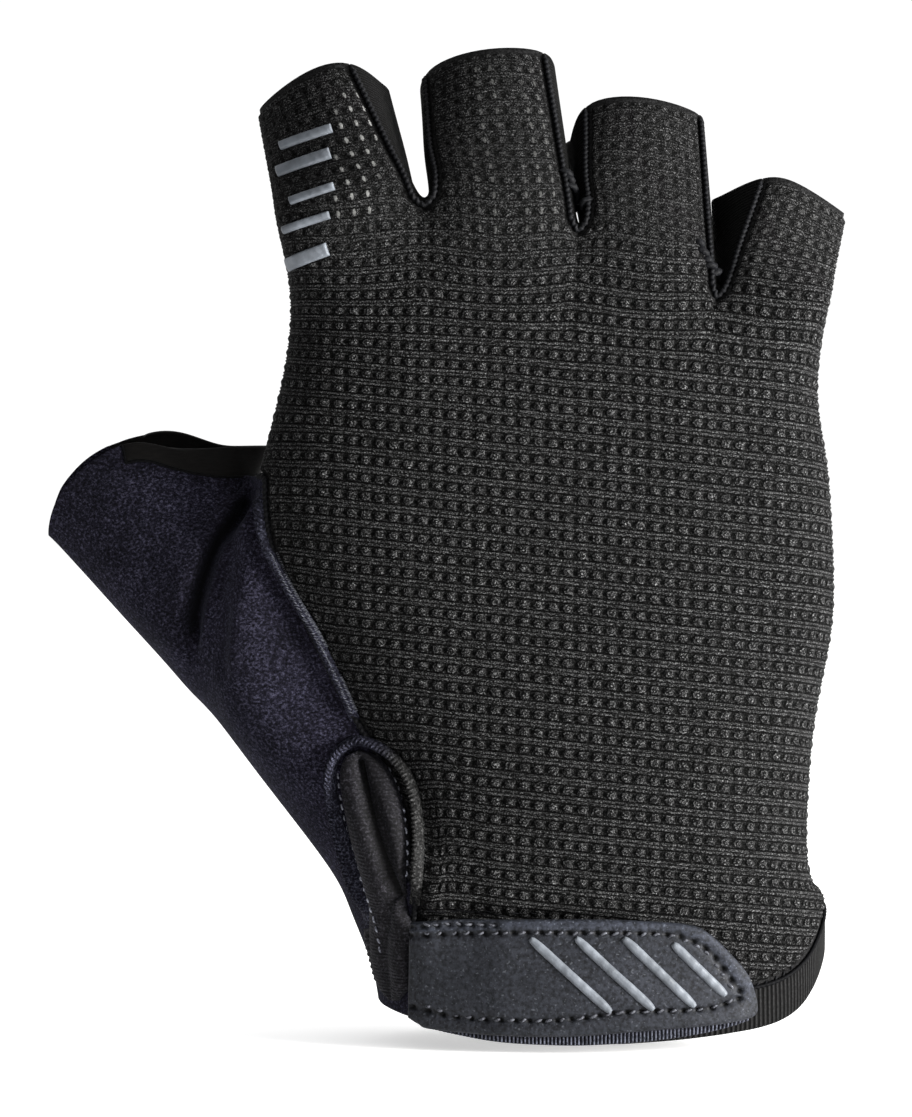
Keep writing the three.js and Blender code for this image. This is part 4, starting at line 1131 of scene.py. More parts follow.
def skin_at(x, z):
    place, _, index, _ = SKIN_TREE.ray_cast(Vector((x, FAR_FRONT, z)), Vector((0, 1, 0)))
    if place is None:
        return None
    corners = skin_quads[index]
    shares = poly_3d_calc([Vector(skin[corner]) for corner in corners], place)
    return place.y, np.array(shares) @ normals[corners]


def smoothed(grid, rounds):
    for axis in (0, 1):
        for _ in range(rounds):
            first, last = grid.take([0], axis), grid.take([-1], axis)
            before = np.concatenate([first, grid.take(range(grid.shape[axis] - 1), axis)], axis)
            after = np.concatenate([grid.take(range(1, grid.shape[axis]), axis), last], axis)
            grid = 0.25 * before + 0.5 * grid + 0.25 * after
    return grid


def lay(x, z, rounds):
    """Places on the skin for grids of x and z, and the ways up there. Past the outline the
    nearest skin towards the middle of the hand is carried on."""
    depth = np.zeros(x.shape)
    ups = np.zeros((*x.shape, 3))
    for spot in np.ndindex(x.shape):
        aside = -math.copysign(BEYOND_STEP, x[spot])
        rise = BEYOND_STEP if z[spot] < 10 else 0
        found = None
        step = 0
        while found is None:
            found = skin_at(x[spot] + aside * step, z[spot] + rise * step)
            step += 1
        depth[spot], ups[spot] = found
    depth = smoothed(depth, rounds)
    return np.stack([x, depth, z], -1), unit(smoothed(ups, rounds))


def closed_grid(over, under):
    """A body between two grids of places, facing out."""
    rows, columns = over.shape[:2]
    ids = np.arange(rows * columns).reshape(rows, columns)
    quads = np.stack([ids[:-1, :-1], ids[:-1, 1:], ids[1:, 1:], ids[1:, :-1]], -1).reshape(-1, 4)
    loop = np.concatenate([ids[0, :-1], ids[:-1, -1], ids[-1, :0:-1], ids[:0:-1, 0]])
    after = np.roll(loop, -1)
    edge = np.stack([after, loop, loop + rows * columns, after + rows * columns], 1)
    vertices = np.vstack([over.reshape(-1, 3), under.reshape(-1, 3)])
    faces = np.vstack([quads, quads[:, ::-1] + rows * columns, edge])
    a, b, c, d = (vertices[faces[:, k]] for k in range(4))
    volume = (a * (np.cross(b, c) + np.cross(c, d))).sum()
    return vertices, faces[:, ::-1] if volume < 0 else faces


def crowded(count, length, rim):
    """Shares from 0 to 1, with a few closer steps within a rim of both ends."""
    close = np.array([0, 0.1, 0.3, 0.6]) * rim / length
    return np.concatenate([close, np.linspace(rim / length, 1 - rim / length, count), 1 - close[::-1]])


def laid_body(name, edges, step, lift, height, rim, material, replaces=(), relief=None, rounds=6,
              tone=None):
    """A closed piece on the skin between two edges. Its border is rounded within a rim, and
    relief gives what the outer face stands out beyond its height. tone is for its material."""
    start, end = (smooth_path(edge) for edge in edges)
    length = max(path_lengths(start)[-1], path_lengths(end)[-1])
    width = np.linalg.norm(path_points(start, np.array([0.5])) - path_points(end, np.array([0.5])))
    s = crowded(int(length / step[0]), length, rim)
    t = crowded(int(width / step[1]), width, rim)
    a, b = path_points(start, s), path_points(end, s)
    x = a[:, :1] * (1 - t) + b[:, :1] * t
    z = a[:, 1:] * (1 - t) + b[:, 1:] * t
    places, ups = lay(x, z, rounds)
    wide = np.linalg.norm(b - a, axis=1)[:, None]
    border = np.minimum(np.minimum(t, 1 - t) * wide, (np.minimum(s, 1 - s) * length)[:, None])
    profile = np.sqrt(1 - np.clip(1 - border / rim, 0, 1) ** 2)
    grown = height * (0.25 + 0.75 * profile)
    if relief is not None:
        grown = grown + relief(x, z, s[:, None] * length, np.broadcast_to(t, x.shape), profile)
    vertices, faces = closed_grid(places + ups * (lift + grown)[..., None], places + ups * lift)
    tones = np.full(x.shape, 0.5) if tone is None else tone(x, z)
    return new_piece(name, vertices, faces, material, replaces, {"tone": np.tile(tones.ravel(), 2)})


def both_sides(path, width):
    """The two edges of a band of this width along a path."""
    fine = smooth_path(path)
    ways = unit(np.gradient(fine, axis=0))
    aside = np.stack([-ways[:, 1], ways[:, 0]], 1) * width / 2
    return (fine + aside)[::4], (fine - aside)[::4]


# A small thread: eight sides, thin at the ends, which dive below the middle.
THREAD_RINGS = [(-1.0, 0.3, -0.8), (-0.8, 0.8, -0.35), (-0.35, 1.0, 0.1), (0.35, 1.0, 0.1),
                (0.8, 0.8, -0.35), (1.0, 0.3, -0.8)]
THREAD_SIDES = 8


def tube_faces(rings, sides):
    """Faces of a tube of this many rings, with its ends closed. Eight sides are needed for the ends."""
    ids = np.arange(rings * sides).reshape(rings, sides)
    after = np.roll(ids, -1, 1)
    walls = np.stack([ids[:-1], after[:-1], after[1:], ids[1:]], -1).reshape(-1, 4)
    cap = np.array([[0, 1, 2, 3], [0, 3, 4, 7], [4, 5, 6, 7]])
    return np.vstack([walls, cap[:, ::-1], cap + (rings - 1) * sides])


def ring_round(centre, aside, up, radius, angles):
    return [centre + (aside * math.cos(angle) + up * math.sin(angle)) * radius for angle in angles]


def thread_piece(name, threads, rings, material):
    """One piece of many threads, each a list of its rings' vertices."""
    template = tube_faces(rings, THREAD_SIDES)
    faces = [template + number * rings * THREAD_SIDES for number in range(len(threads))]
    vertices = np.array([tuple(vertex) for thread in threads for vertex in thread])
    return new_piece(name, vertices, np.vstack(faces), material)


def tree_of(*pieces):
    vertices, faces = [], []
    for piece in pieces:
        start = len(vertices)
        vertices += [vertex.co / MM for vertex in piece.data.vertices]
        faces += [[start + corner for corner in face.vertices] for face in piece.data.polygons]
    return BVHTree.FromPolygons(vertices, faces)


Stitching = namedtuple("Stitching", "path pitch length radius slant lift")
# How uneven stitches are: in place and length as shares, and in slant as degrees.
UNEVEN = 0.12
UNEVEN_SLANT = 9
STITCH_SEED = 7


def stitches(name, rows, tree, material):
    """Threads along paths of the front view, each lying on what the tree holds there."""
    draw = np.random.default_rng(STITCH_SEED)
    angles = 2 * np.pi * (np.arange(THREAD_SIDES) + 0.5) / THREAD_SIDES
    threads = []
    for row in rows:
        path = smooth_path(row.path)
        total = path_lengths(path)[-1]
        count = max(1, round(total / row.pitch))
        for number in range(count):
            share = (number + 0.5 + UNEVEN * draw.normal()) / count
            (x, z), (x1, z1) = path_points(path, np.array([share, min(1, share + 0.01)]))
            place, up, _, _ = tree.ray_cast(Vector((x, FAR_FRONT, z)), Vector((0, 1, 0)))
            if place is None:
                continue
            turn = math.atan2(z1 - z, x1 - x) + math.radians(row.slant + UNEVEN_SLANT * draw.normal())
            way = Vector((math.cos(turn), 0, math.sin(turn)))
            way = (way - up * way.dot(up)).normalized()
            aside = way.cross(up)
            half = row.length / 2 * (1 + UNEVEN * draw.normal())
            thread = []
            for along, thick, rise in THREAD_RINGS:
                centre = place + way * (along * half) + up * (row.lift + rise * row.radius * 2)
                thread += ring_round(centre, aside, up, row.radius * thick, angles)
            threads.append(thread)
    return thread_piece(name, threads, len(THREAD_RINGS), material)


def border_chains(panel, other):
    """The fine vertices along the seams between two panels, in order, seam by seam."""
    keys = [edge_pairs(skin_quads[skin_panels == name], len(skin))[1] for name in (panel, other)]
    shared = np.intersect1d(*keys)
    beside = {}
    for key in shared.tolist():
        a, b = divmod(key, len(skin))
        beside.setdefault(a, []).append(b)
        beside.setdefault(b, []).append(a)
    chains = []
    ends = sorted(corner for corner, near in beside.items() if len(near) == 1)
    while ends:
        chain = [ends.pop(0)]
        while True:
            onward = [corner for corner in beside[chain[-1]] if corner not in chain[-2:]]
            if not onward:
                break
            chain.append(onward[0])
        if chain[-1] in ends:
            ends.remove(chain[-1])
        chains.append(chain)
    return chains


# Whipped seams between pairs of panels. A lump swells the cord once in a pitch.
Seam = namedtuple("Seam", "name between radius lump pitch lift material slot")
SEAMS = [seam for panel in FOURCHETTES for seam in (
    Seam(panel + "_back_seam", [("back_panel", panel)], 0.42, 0.3, 1.05, 0.12, DARK_THREAD, "knit_mesh"),
    Seam(panel + "_palm_seam", [("palm_panel", panel)], 0.3, 0.15, 0.95, 0.0, DARK_THREAD, "knit_mesh"))]
SEAMS += [
    Seam("thumb_side_seam", [("back_panel", "thumb_binding"), ("back_panel", "thumb_panel")],
         0.5, 0.2, 0.95, 0.0, DARK_THREAD, "knit_mesh"),
    Seam("thumb_binding_seam", [("thumb_panel", "thumb_binding")],
         0.24, 0.1, 1.2, -0.08, BLACK_THREAD, "stretch_binding"),
    Seam("hem_back_seam", [("back_panel", "wrist_hem")],
         0.34, 0.1, 0.95, -0.05, BLACK_THREAD, "ribbed_hem"),
]
CORD_SIDES = 8
CORD_STEP = 0.14
# How far a seam ends short of the cloth's edge, and over what length it grows to full size.
CORD_SHORT = 0.7
CORD_TAPER = 0.8


def sew_seam(seam):
    """A thin ridge along the skin vertices of a seam, lumpy as whipped thread is."""
    chains = [chain for pair in seam.between for chain in border_chains(*pair)]
    vertices, faces = [], []
    count = 0
    for chain in chains:
        lengths = path_lengths(skin[chain])
        short = CORD_SHORT / lengths[-1]
        shares = np.linspace(short, 1 - short, int(lengths[-1] / CORD_STEP))
        place = shares * lengths[-1]
        track = path_points(skin[chain], shares)
        ups = unit(np.stack([np.interp(place, lengths, normals[chain][:, k]) for k in range(3)], 1))
        for _ in range(4):
            track[1:-1] = 0.25 * track[:-2] + 0.5 * track[1:-1] + 0.25 * track[2:]
        ways = unit(np.gradient(track, axis=0))
        aside = unit(np.cross(ways, ups))
        ends = np.clip((np.minimum(place, lengths[-1] - place) - CORD_SHORT) / CORD_TAPER, 0.2, 1)
        angles = 2 * np.pi * np.arange(CORD_SIDES) / CORD_SIDES
        swell = 1 + seam.lump * np.sin(2 * np.pi * place[:, None] / seam.pitch + angles)
        radius = (seam.radius * ends)[:, None] * swell
        centre = track + ups * seam.lift
        ring = (centre[:, None] + radius[..., None] * (aside[:, None] * np.cos(angles)[:, None]
                                                      + ups[:, None] * np.sin(angles)[:, None]))
        vertices.append(ring.reshape(-1, 3))
        faces.append(tube_faces(len(track), CORD_SIDES) + count)
        count += ring.shape[0] * CORD_SIDES
    new_piece(seam.name, np.vstack(vertices), np.vstack(faces), seam.material)


TACK_RINGS = [(-1.0, 0.25), (-0.85, 0.7), (-0.4, 0.95), (0.0, 1.0), (0.4, 0.95), (0.85, 0.7), (1.0, 0.25)]
TACK = {"half": 1.7, "radius": 0.75, "sink": 0.2}


def seam_tacks(name, material):
    """Short whipped bars of thread where three panels meet."""
    meeting = {}
    for panel in np.unique(skin_panels):
        for corner in np.unique(skin_quads[skin_panels == panel]).tolist():
            meeting.setdefault(corner, set()).add(str(panel))
    angles = 2 * np.pi * np.arange(THREAD_SIDES) / THREAD_SIDES
    tacks = []
    for corner, panels in meeting.items():
        if len(panels) < 3:
            continue
        up = Vector(normals[corner])
        way = up.cross(Vector((1, 0, 0))).normalized()
        aside = way.cross(up)
        tack = []
        for along, thick in TACK_RINGS:
            centre = Vector(skin[corner]) + way * (along * TACK["half"]) - up * TACK["sink"]
            tack += ring_round(centre, aside, up, TACK["radius"] * thick, angles)
        tacks.append(tack)
    return thread_piece(name, tacks, len(TACK_RINGS), material)


# Tables of what lies on the back, all in the front view.
STRAP_EDGES = (
    [(-30.6, 15.2), (-23.7, 15.6), (-16.8, 15.6), (-1.7, 15.6), (7.4, 15.2), (13.4, 14.6),
     (16.5, 13.3), (19.8, 10.1), (22.9, 6.0), (24.0, 1.9)],
    [(-30.6, -0.8), (-29.0, -1.9), (-27.0, -2.7), (-15.9, -3.5), (-4.7, -3.5), (8.3, -2.5),
     (15.7, -2.0), (20.9, -1.4), (23.5, -0.7), (24.2, 0.5)])
STRAP = {"lift": 1.8, "height": 1.3, "rim": 0.6}
BACKING_EDGES = (
    [(-30.4, 12.4), (-22.1, 12.9), (-9.0, 12.9), (5.8, 12.6), (12.4, 11.8), (16.5, 9.8), (20.0, 5.6),
     (22.4, 1.6)],
    [(-30.4, -1.2), (-28.3, -2.7), (-22.1, -4.0), (-15.9, -4.8), (-9.0, -5.1), (-2.7, -5.1),
     (5.8, -4.6), (13.4, -3.7), (18.9, -2.7), (23.6, -1.4)])
BACKING = {"lift": 0.5, "height": 1.1, "rim": 0.3, "rib_pitch": 0.62, "rib": 0.2}
STRIPES = [((-12.0, 12.6), (1.0, 0.6)), ((-4.7, 12.7), (7.7, 0.9)), ((2.9, 12.6), (14.3, 1.3)),
           ((10.7, 11.6), (19.2, 3.0))]
STRIPE = {"width": 1.5, "lift": 3.05, "height": 0.55, "rim": 0.5}
# A stripe's width, as a share of its full one, by the share of its length.
STRIPE_TAPER = [(0, 0.45), (0.04, 0.8), (0.14, 1), (0.3, 1), (0.5, 1), (0.7, 1), (0.86, 1), (0.96, 0.8),
                (1, 0.45)]
Bar = namedtuple("Bar", "start end width")
BARS = [Bar((-53.9, 144.4), (-45.2, 147.0), 1.5), Bar((-54.3, 139.9), (-45.4, 142.6), 1.9),
        Bar((-51.9, 134.4), (-44.6, 136.7), 1.4), Bar((-53.0, 129.5), (-45.3, 131.8), 1.3),
        Bar((-52.4, 123.9), (-45.6, 126.2), 2.2)]
BAR = {"lift": 0.1, "height": 0.6, "rim": 0.35}
# Grid steps of a laid piece, along it and across it.
PRINT_STEP = (0.3, 0.25)
FOLD_STEP = (0.13, 0.2)
TOP_ROW = [(-30.3, 13.2), (-11.8, 13.5), (8.2, 13.2), (13.2, 12.2), (16.6, 10.2), (18.8, 7.4),
           (21.4, 3.6)]
BOTTOM_ROW = [(-29.8, 1.2), (-23.3, -0.4), (-11.8, -0.9), (-3.7, -0.4), (1.3, 0.4), (8.2, 0.7),
              (16.3, 0.9), (21.3, 2.4)]
STRAP_STITCHES = [
    Stitching(TOP_ROW, 2.2, 1.3, 0.23, 24, 0.05),
    Stitching([(-30.3, 14.6), (-24.0, 14.8), (-17.5, 14.7)], 1.9, 1.5, 0.22, -16, 0.1),
    Stitching(BOTTOM_ROW, 2.2, 1.3, 0.23, 24, 0.05),
]
FRAYED = [
    Stitching([(-31.0, 16.6), (-24.0, 16.9), (-16.2, 16.2)], 2.6, 3.4, 0.13, 3, 0.3),
    Stitching([(-30.0, 17.3), (-22.0, 17.0), (-8.0, 16.4)], 4.5, 3.0, 0.11, -7, 0.3),
]
SEAM_ROLL_PATH = [(-57.4, 86.4), (-56.9, 80.6), (-55.8, 76.4), (-53.8, 72.4), (-51.4, 68.2),
                  (-48.6, 63.9), (-46.6, 59.8), (-44.6, 55.6), (-42.8, 51.8), (-41.2, 47.9)]
VENT_PATH = [(-38.6, 13.6), (-39.8, 17.9), (-41.3, 22.6), (-42.7, 27.2), (-44.0, 31.9), (-45.0, 36.4),
             (-45.1, 40.2), (-43.3, 43.2), (-40.7, 44.5), (-37.7, 43.7), (-35.0, 42.0), (-33.0, 39.8),
             (-31.7, 37.2), (-30.9, 33.8), (-30.5, 29.4), (-30.5, 25.0), (-30.8, 20.6), (-31.2, 17.6)]
ROLL_RIM = 0.4
Roll = namedtuple("Roll", "width lift height whip_pitch whip lean fade")
SEAM_ROLL = Roll(1.7, 0.2, 1.35, 0.85, 0.2, 5.0, 3.0)
VENT_ROLL = Roll(1.8, 0.2, 1.9, 0.75, 0.17, 4.0, 7.0)
GUSSET_EDGES = (
    [(-40.6, 42.9), (-42.6, 41.7), (-43.3, 39.2), (-42.9, 36.0), (-41.6, 31.0), (-40.1, 26.2),
     (-38.6, 21.6), (-37.6, 17.2), (-37.6, 12.2), (-37.3, 7.6), (-36.2, 3.6), (-34.4, 1.3)],
    [(-40.0, 42.9), (-37.4, 41.9), (-35.2, 39.4), (-33.5, 35.4), (-32.5, 30.9), (-32.2, 26.0),
     (-32.4, 21.2), (-32.3, 17.2), (-31.2, 14.0), (-31.1, 9.0), (-31.3, 4.6), (-33.4, 1.3)])
GUSSET = {"lift": 0.4, "base": 0.9, "rim": 0.5, "rib_pitch": 0.55, "rib": 0.07, "crease": 1.5}
GUSSET_CREASE = [(-39.8, 41.0), (-38.6, 36.1), (-36.8, 30.7), (-34.8, 25.2), (-32.9, 19.4)]
# Along the gusset, evenly spaced: where its fold lies across it, and how high its lobes stand.
GUSSET_FOLD = [0.5, 0.52, 0.56, 0.62, 0.7, 0.8, 0.9, 0.72, 0.5, 0.5, 0.5, 0.5]
LEFT_LOBE = [0.0, 0.8, 1.6, 2.2, 2.5, 2.6, 2.4, 1.6, 1.3, 1.3, 1.1, 0.3]
RIGHT_LOBE = [0.0, 0.7, 1.4, 1.8, 1.7, 1.2, 0.6, 1.4, 1.7, 1.7, 1.4, 0.3]
VENT_STITCHES = [
    Stitching([(-44.2, 39.4), (-43.6, 34.5), (-42.6, 29.5), (-41.2, 25.0), (-39.9, 21.0), (-38.7, 17.2),
               (-37.6, 13.0), (-36.9, 8.6)], 1.75, 1.15, 0.17, 4, 0.1),
    Stitching([(-35.9, 40.4), (-34.6, 38.0), (-33.4, 34.6), (-32.7, 29.4), (-32.5, 25.6), (-32.7, 21.8)],
              1.75, 1.1, 0.17, -4, 0.1),
]
TAB_ROLL = Roll(2.0, 1.2, 1.0, 1.1, 0.2, 3.0, 1.5)
TAB_FOLDS = {
    "left": [(-37.9, 13.4), (-37.3, 10.6), (-36.6, 8.0), (-36.0, 5.6), (-35.6, 3.8)],
    "right": [(-33.1, 15.2), (-32.6, 11.6), (-32.6, 7.8), (-32.9, 4.6), (-33.6, 2.4)],
}
# Pale nap along the outer edge of the thumb's rolled seam.
SEAM_NAP = [Stitching([(-54.9, 76.4), (-52.2, 71.0), (-49.3, 65.8), (-45.4, 59.2), (-41.0, 49.4)],
                      0.3, 1.0, 0.09, 80, 0.05),
            Stitching([(-55.4, 75.8), (-52.9, 70.6), (-50.0, 65.3), (-46.2, 58.8), (-41.8, 49.0)],
                      0.5, 0.8, 0.07, 30, 0.05)]
# Thick curled threads at the bottoms of the webs.
WEB_BUNCHES = [Stitching([(-6.2, 139.6), (-5.2, 136.8), (-4.0, 134.6), (-2.2, 133.9)],
                         1.3, 3.2, 0.62, 58, 0.5),
               Stitching([(15.9, 127.6), (17.2, 124.6), (19.0, 122.5), (21.0, 121.9)],
                         1.3, 3.2, 0.62, 58, 0.5)]
# A scrap of suede under the seams at the thumb's crotch.
CROTCH_STAY_EDGES = ([(-61.0, 89.3), (-59.0, 89.0), (-57.2, 88.6)],
                     [(-60.8, 87.4), (-58.8, 87.0), (-57.0, 86.6)])
HEM_DASHES = [Stitching([(24.6, 4.0), (28.4, 5.0), (31.4, 7.0), (33.4, 10.5)], 1.7, 1.3, 0.2, 32, 0.1)]


def strap_rows(x, z):
    """How much of a stitched groove and of a needle hole lies at each place of the strap."""
    groove = np.zeros(x.shape)
    holes = np.zeros(x.shape)
    for row in STRAP_STITCHES:
        path = smooth_path(row.path)
        away, along = beside_path(path, x, z)
        total = path_lengths(path)[-1]
        pitch = total / round(total / row.pitch)
        from_hole = np.abs(along / pitch - np.round(along / pitch)) * pitch
        groove = np.maximum(groove, bell(away, 0.6))
        holes = np.maximum(holes, bell(away, 0.38, 4) * bell(from_hole, 0.42, 4))
    return groove, holes


def strap_relief(x, z, s, t, profile):
    groove, holes = strap_rows(x, z)
    return profile * (0.12 * smoothstep(0.0, 0.12, t) - 0.28 * groove - 0.55 * holes)


# Painted shade in the needle holes and stitched grooves, and a paler band along the top edge.
def strap_tone(x, z):
    groove, holes = strap_rows(x, z)
    above, _ = beside_path(smooth_path(TOP_ROW), x, z)
    margin = smoothstep(0.2, 0.7, above) * (1 - smoothstep(1.6, 2.6, above))
    return np.clip(0.5 - 0.16 * groove - 0.5 * holes + 0.3 * margin, 0, 1)


def backing_relief(x, z, s, t, profile):
    return BACKING["rib"] * profile * np.sin(2 * np.pi * x / BACKING["rib_pitch"])


# Painted shade in the grooves between the ribs and lighter crests, in step with the ribs' relief.
def backing_tone(x, z):
    return 0.5 + 0.5 * np.sin(2 * np.pi * x / BACKING["rib_pitch"])


def roll_relief(roll):
    """A round section with whipped threads across it, running out flat over its last stretch."""
    def relief(x, z, s, t, profile):
        crown = np.sin(np.pi * t) ** 0.8
        whip = np.sin(2 * np.pi * s / roll.whip_pitch + roll.lean * t)
        ends = smoothstep(0, roll.fade, s) * smoothstep(0, roll.fade, s.max() - s)
        return roll.height * (ends * crown * (1 + roll.whip * whip) - 0.25 - 0.72 * profile)
    return relief


def knit_side(x, z):
    """Where the vent's rolled edge is of the knit's grey rather than navy."""
    return smoothstep(-38.0, -33.0, x)


def navy(x, z):
    return np.zeros(x.shape)


def gusset_relief(x, z, s, t, profile):
    share = s / s.max()
    spots = np.linspace(0, 1, len(GUSSET_FOLD))
    fold, left, right = (np.interp(share, spots, values) for values in (GUSSET_FOLD, LEFT_LOBE, RIGHT_LOBE))
    is_left = t < fold
    across = np.clip(np.where(is_left, t / fold, (t - fold) / (1 - fold)), 0, 1)
    grown = np.where(is_left, left, right) * np.sin(np.pi * across) ** 0.6
    away, _ = beside_path(smooth_path(GUSSET_CREASE), x, z)
    grown = smoothed(grown, 3) - GUSSET["crease"] * bell(away, 0.6)
    ribs = GUSSET["rib"] * np.sin(2 * np.pi * (z + 0.25 * x) / GUSSET["rib_pitch"])
    return grown + ribs * profile


def gusset_tone(x, z):
    """Painted shade: dark in the crease and, less so, on the lobe to its right."""
    away, along = beside_path(smooth_path(GUSSET_CREASE), x, z)
    beside = smoothstep(0, 0.8, away) * (1 - smoothstep(2.0, 5.0, away)) * (1 - smoothstep(18, 23, along))
    return np.clip(0.5 - 0.5 * bell(away, 0.55) - 0.2 * beside, 0, 1)


def print_relief(x, z, s, t, profile):
    return 0.12 * np.sin(np.pi * t) - 0.03 * np.sin(4.1 * s + 1.3 * z)


def lay_strap():
    laid_body("closure_strap_skin", STRAP_EDGES, (0.34, 0.34), STRAP["lift"], STRAP["height"], STRAP["rim"],
              STRAP_SKIN, ["closure_strap"], strap_relief, tone=strap_tone)
    laid_body("strap_backing_ribs", BACKING_EDGES, (0.13, 1.0), BACKING["lift"], BACKING["height"],
              BACKING["rim"], BACKING_RIBS, ["strap_backing"], backing_relief, rounds=14,
              tone=backing_tone)
    strap = tree_of(bpy.data.objects["closure_strap_skin"])
    stitches("strap_stitches", STRAP_STITCHES, strap, STRAP_THREAD)


def lay_prints():
    """The strap's stripes and the finger's bars."""
    shares, widths = np.array(STRIPE_TAPER).T
    for number, (start, end) in enumerate(STRIPES, 1):
        way = unit(np.array(end) - start)
        middle = np.array(start) + (np.array(end) - start) * shares[:, None]
        aside = np.array([-way[1], way[0]]) * (STRIPE["width"] / 2 * widths)[:, None]
        laid_body(f"strap_stripe_{number}_print", (middle + aside, middle - aside), PRINT_STEP,
                  STRIPE["lift"], STRIPE["height"], STRIPE["rim"], SILVER,
                  [f"strap_stripe_{number}"], print_relief)
    for number, bar in enumerate(BARS, 1):
        laid_body(f"finger_bar_{number}_print", both_sides([bar.start, bar.end], bar.width), PRINT_STEP,
                  BAR["lift"], BAR["height"], BAR["rim"], SILVER,
                  [f"finger_bar_{number}"], print_relief)


def lay_roll(name, path, roll, step, material, replaces=(), tone=None):
    laid_body(name, both_sides(path, roll.width), step, roll.lift, roll.height, ROLL_RIM, material,
              replaces, roll_relief(roll), tone=tone)


def lay_vent():
    """The thumb's rolled seam, the vent's rolled edge, its gusset and the folds at its foot."""
    lay_roll("thumb_seam_roll_skin", SEAM_ROLL_PATH, SEAM_ROLL, (0.16, 0.2), ROLL_CLOTH,
             ["thumb_seam_roll"], navy)
    lay_roll("vent_binding_skin", VENT_PATH, VENT_ROLL, FOLD_STEP, ROLL_CLOTH,
             ["vent_binding"], knit_side)
    laid_body("vent_gusset_cloth", GUSSET_EDGES, (0.13, 0.3), GUSSET["lift"], GUSSET["base"], GUSSET["rim"],
              TRICOT, ["vent_gusset"], gusset_relief, tone=gusset_tone)
    for side, path in TAB_FOLDS.items():
        lay_roll(f"vent_tab_{side}_fold", path, TAB_ROLL, FOLD_STEP, TRICOT)


def sew():
    def pieces(*names):
        return [bpy.data.objects[name] for name in names]

    cloths = pieces("back_panel_cloth", "thumb_panel_cloth", "wrist_hem_cloth")
    whole = tree_of(*pieces("vent_gusset_cloth"), *cloths)
    rolled = tree_of(*pieces("thumb_seam_roll_skin"), *cloths)
    webs = tree_of(*pieces("back_panel_cloth", *(panel + "_cloth" for panel in FOURCHETTES)))
    stitches("vent_stitches", VENT_STITCHES, whole, PALE_THREAD)
    stitches("frayed_threads", FRAYED, whole, DARK_THREAD)
    stitches("hem_dashes", HEM_DASHES, whole, DARK_THREAD)
    stitches("seam_nap", SEAM_NAP, rolled, NAP_THREAD)
    stitches("web_bunches", WEB_BUNCHES, webs, DARK_THREAD)
    for seam in SEAMS:
        sew_seam(seam)
    laid_body("thumb_crotch_stay", CROTCH_STAY_EDGES, (0.4, 0.4), -0.5, 0.6, 0.3, SUEDE)
    seam_tacks("seam_tacks", DARK_THREAD)


# The fields for a sheet of cloth laid flat: its width, length and area in millimetres.
Cut = namedtuple("Cut", "piece width length area held rests_on with_pieces")


build_panels()
lay_strap()
lay_prints()
lay_vent()
sew()


# Stage, camera and light.
CAMERA_PLACE = (-24.4, -700.0, 74.9)
LENS_PIXELS = 4130.0
PHOTO_SIZE = (912, 1117)
SENSOR = 36.0
FLOOR_LEVEL = -6.5
FLOOR_SIZE = 60
# Brightness of the room by direction, and the key lamp's power in watts.
WORLD = {"front_left": 0.03, "front_right": 0.5, "behind": 1.05, "overhead_left": 0.35,
         "overhead_right": 1.7}
KEY_PLACE = (690, -350, 110)
KEY_TARGET = (-15, 0, 75)
KEY_COLOUR = (1, 0.99, 0.97)
KEY_SIZE = 300
KEY_POWER = 27.0


def key_light():
    light = bpy.data.lights.new("key", "AREA")
    light.size = KEY_SIZE * MM
    light.energy = KEY_POWER
    light.color = KEY_COLOUR
    lamp = bpy.data.objects.new("key", light)
    bpy.context.scene.collection.objects.link(lamp)
    lamp.location = Vector(KEY_PLACE) * MM
    way = Vector(KEY_TARGET) - Vector(KEY_PLACE)
    lamp.rotation_euler = way.to_track_quat("-Z", "Y").to_euler()


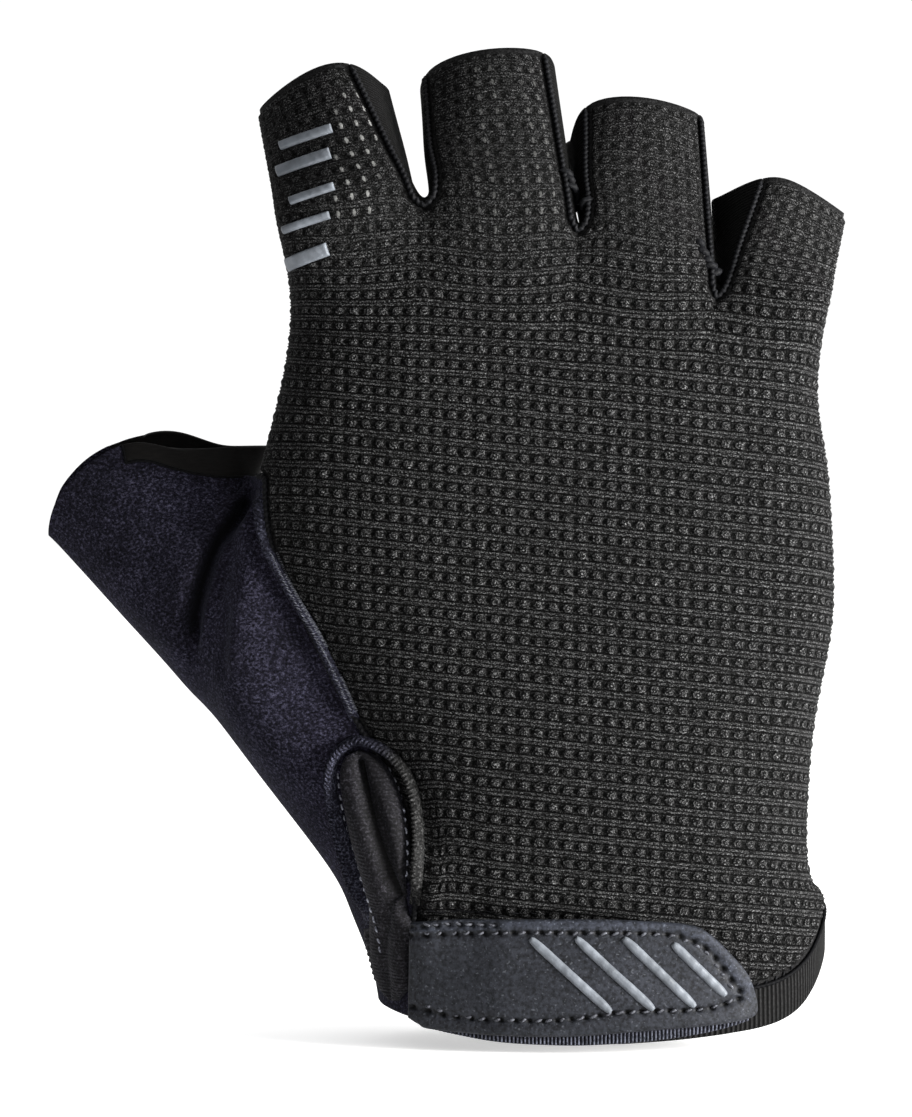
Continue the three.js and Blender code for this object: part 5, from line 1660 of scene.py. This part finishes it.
def studio_world():
    """A white room: bright overhead and behind, dim in front on the left and lighter on the right."""
    world = bpy.data.worlds.new("studio")
    world.use_nodes = True
    nodes, links = world.node_tree.nodes, world.node_tree.links
    way = nodes.new("ShaderNodeTexCoord").outputs["Generated"]
    parts = nodes.new("ShaderNodeSeparateXYZ")
    links.new(way, parts.inputs[0])

    def ranged(value, low, high, start, end):
        node = nodes.new("ShaderNodeMapRange")
        node.interpolation_type = "SMOOTHSTEP"
        links.new(value, node.inputs["Value"])
        for key, amount in (("From Min", low), ("From Max", high), ("To Min", start), ("To Max", end)):
            if isinstance(amount, bpy.types.NodeSocket):
                links.new(amount, node.inputs[key])
            else:
                node.inputs[key].default_value = amount
        return node.outputs["Result"]

    front = ranged(parts.outputs["X"], -0.6, 0.9, WORLD["front_left"], WORLD["front_right"])
    walls = ranged(parts.outputs["Y"], 0.2, 0.8, front, WORLD["behind"])
    ceiling = ranged(parts.outputs["X"], -0.4, 0.4, WORLD["overhead_left"], WORLD["overhead_right"])
    light = ranged(parts.outputs["Z"], 0.35, 0.9, walls, ceiling)
    links.new(light, nodes["Background"].inputs["Strength"])
    nodes["Background"].inputs["Color"].default_value = (1, 1, 1, 1)
    return world


def build_stage():
    scene = bpy.context.scene
    camera = bpy.data.objects.new("camera", bpy.data.cameras.new("camera"))
    camera.data.sensor_width = SENSOR
    camera.data.lens = LENS_PIXELS * SENSOR / max(PHOTO_SIZE)
    camera.data.clip_start = 10 * MM
    camera.data.clip_end = 100
    camera.location = Vector(CAMERA_PLACE) * MM
    camera.rotation_euler = (math.pi / 2, 0, 0)
    scene.collection.objects.link(camera)
    scene.camera = camera

    bpy.ops.mesh.primitive_plane_add(size=FLOOR_SIZE, location=(0, 0, FLOOR_LEVEL * MM))
    floor = bpy.context.object
    floor.name = "floor"
    paper = Shader("floor_paper")
    floor.data.materials.append(paper.finish((0.93, 0.93, 0.93), 0.9, specular=0.1, glow=0.5))

    scene.world = studio_world()
    key_light()
    scene.view_settings.view_transform = "Standard"


build_stage()
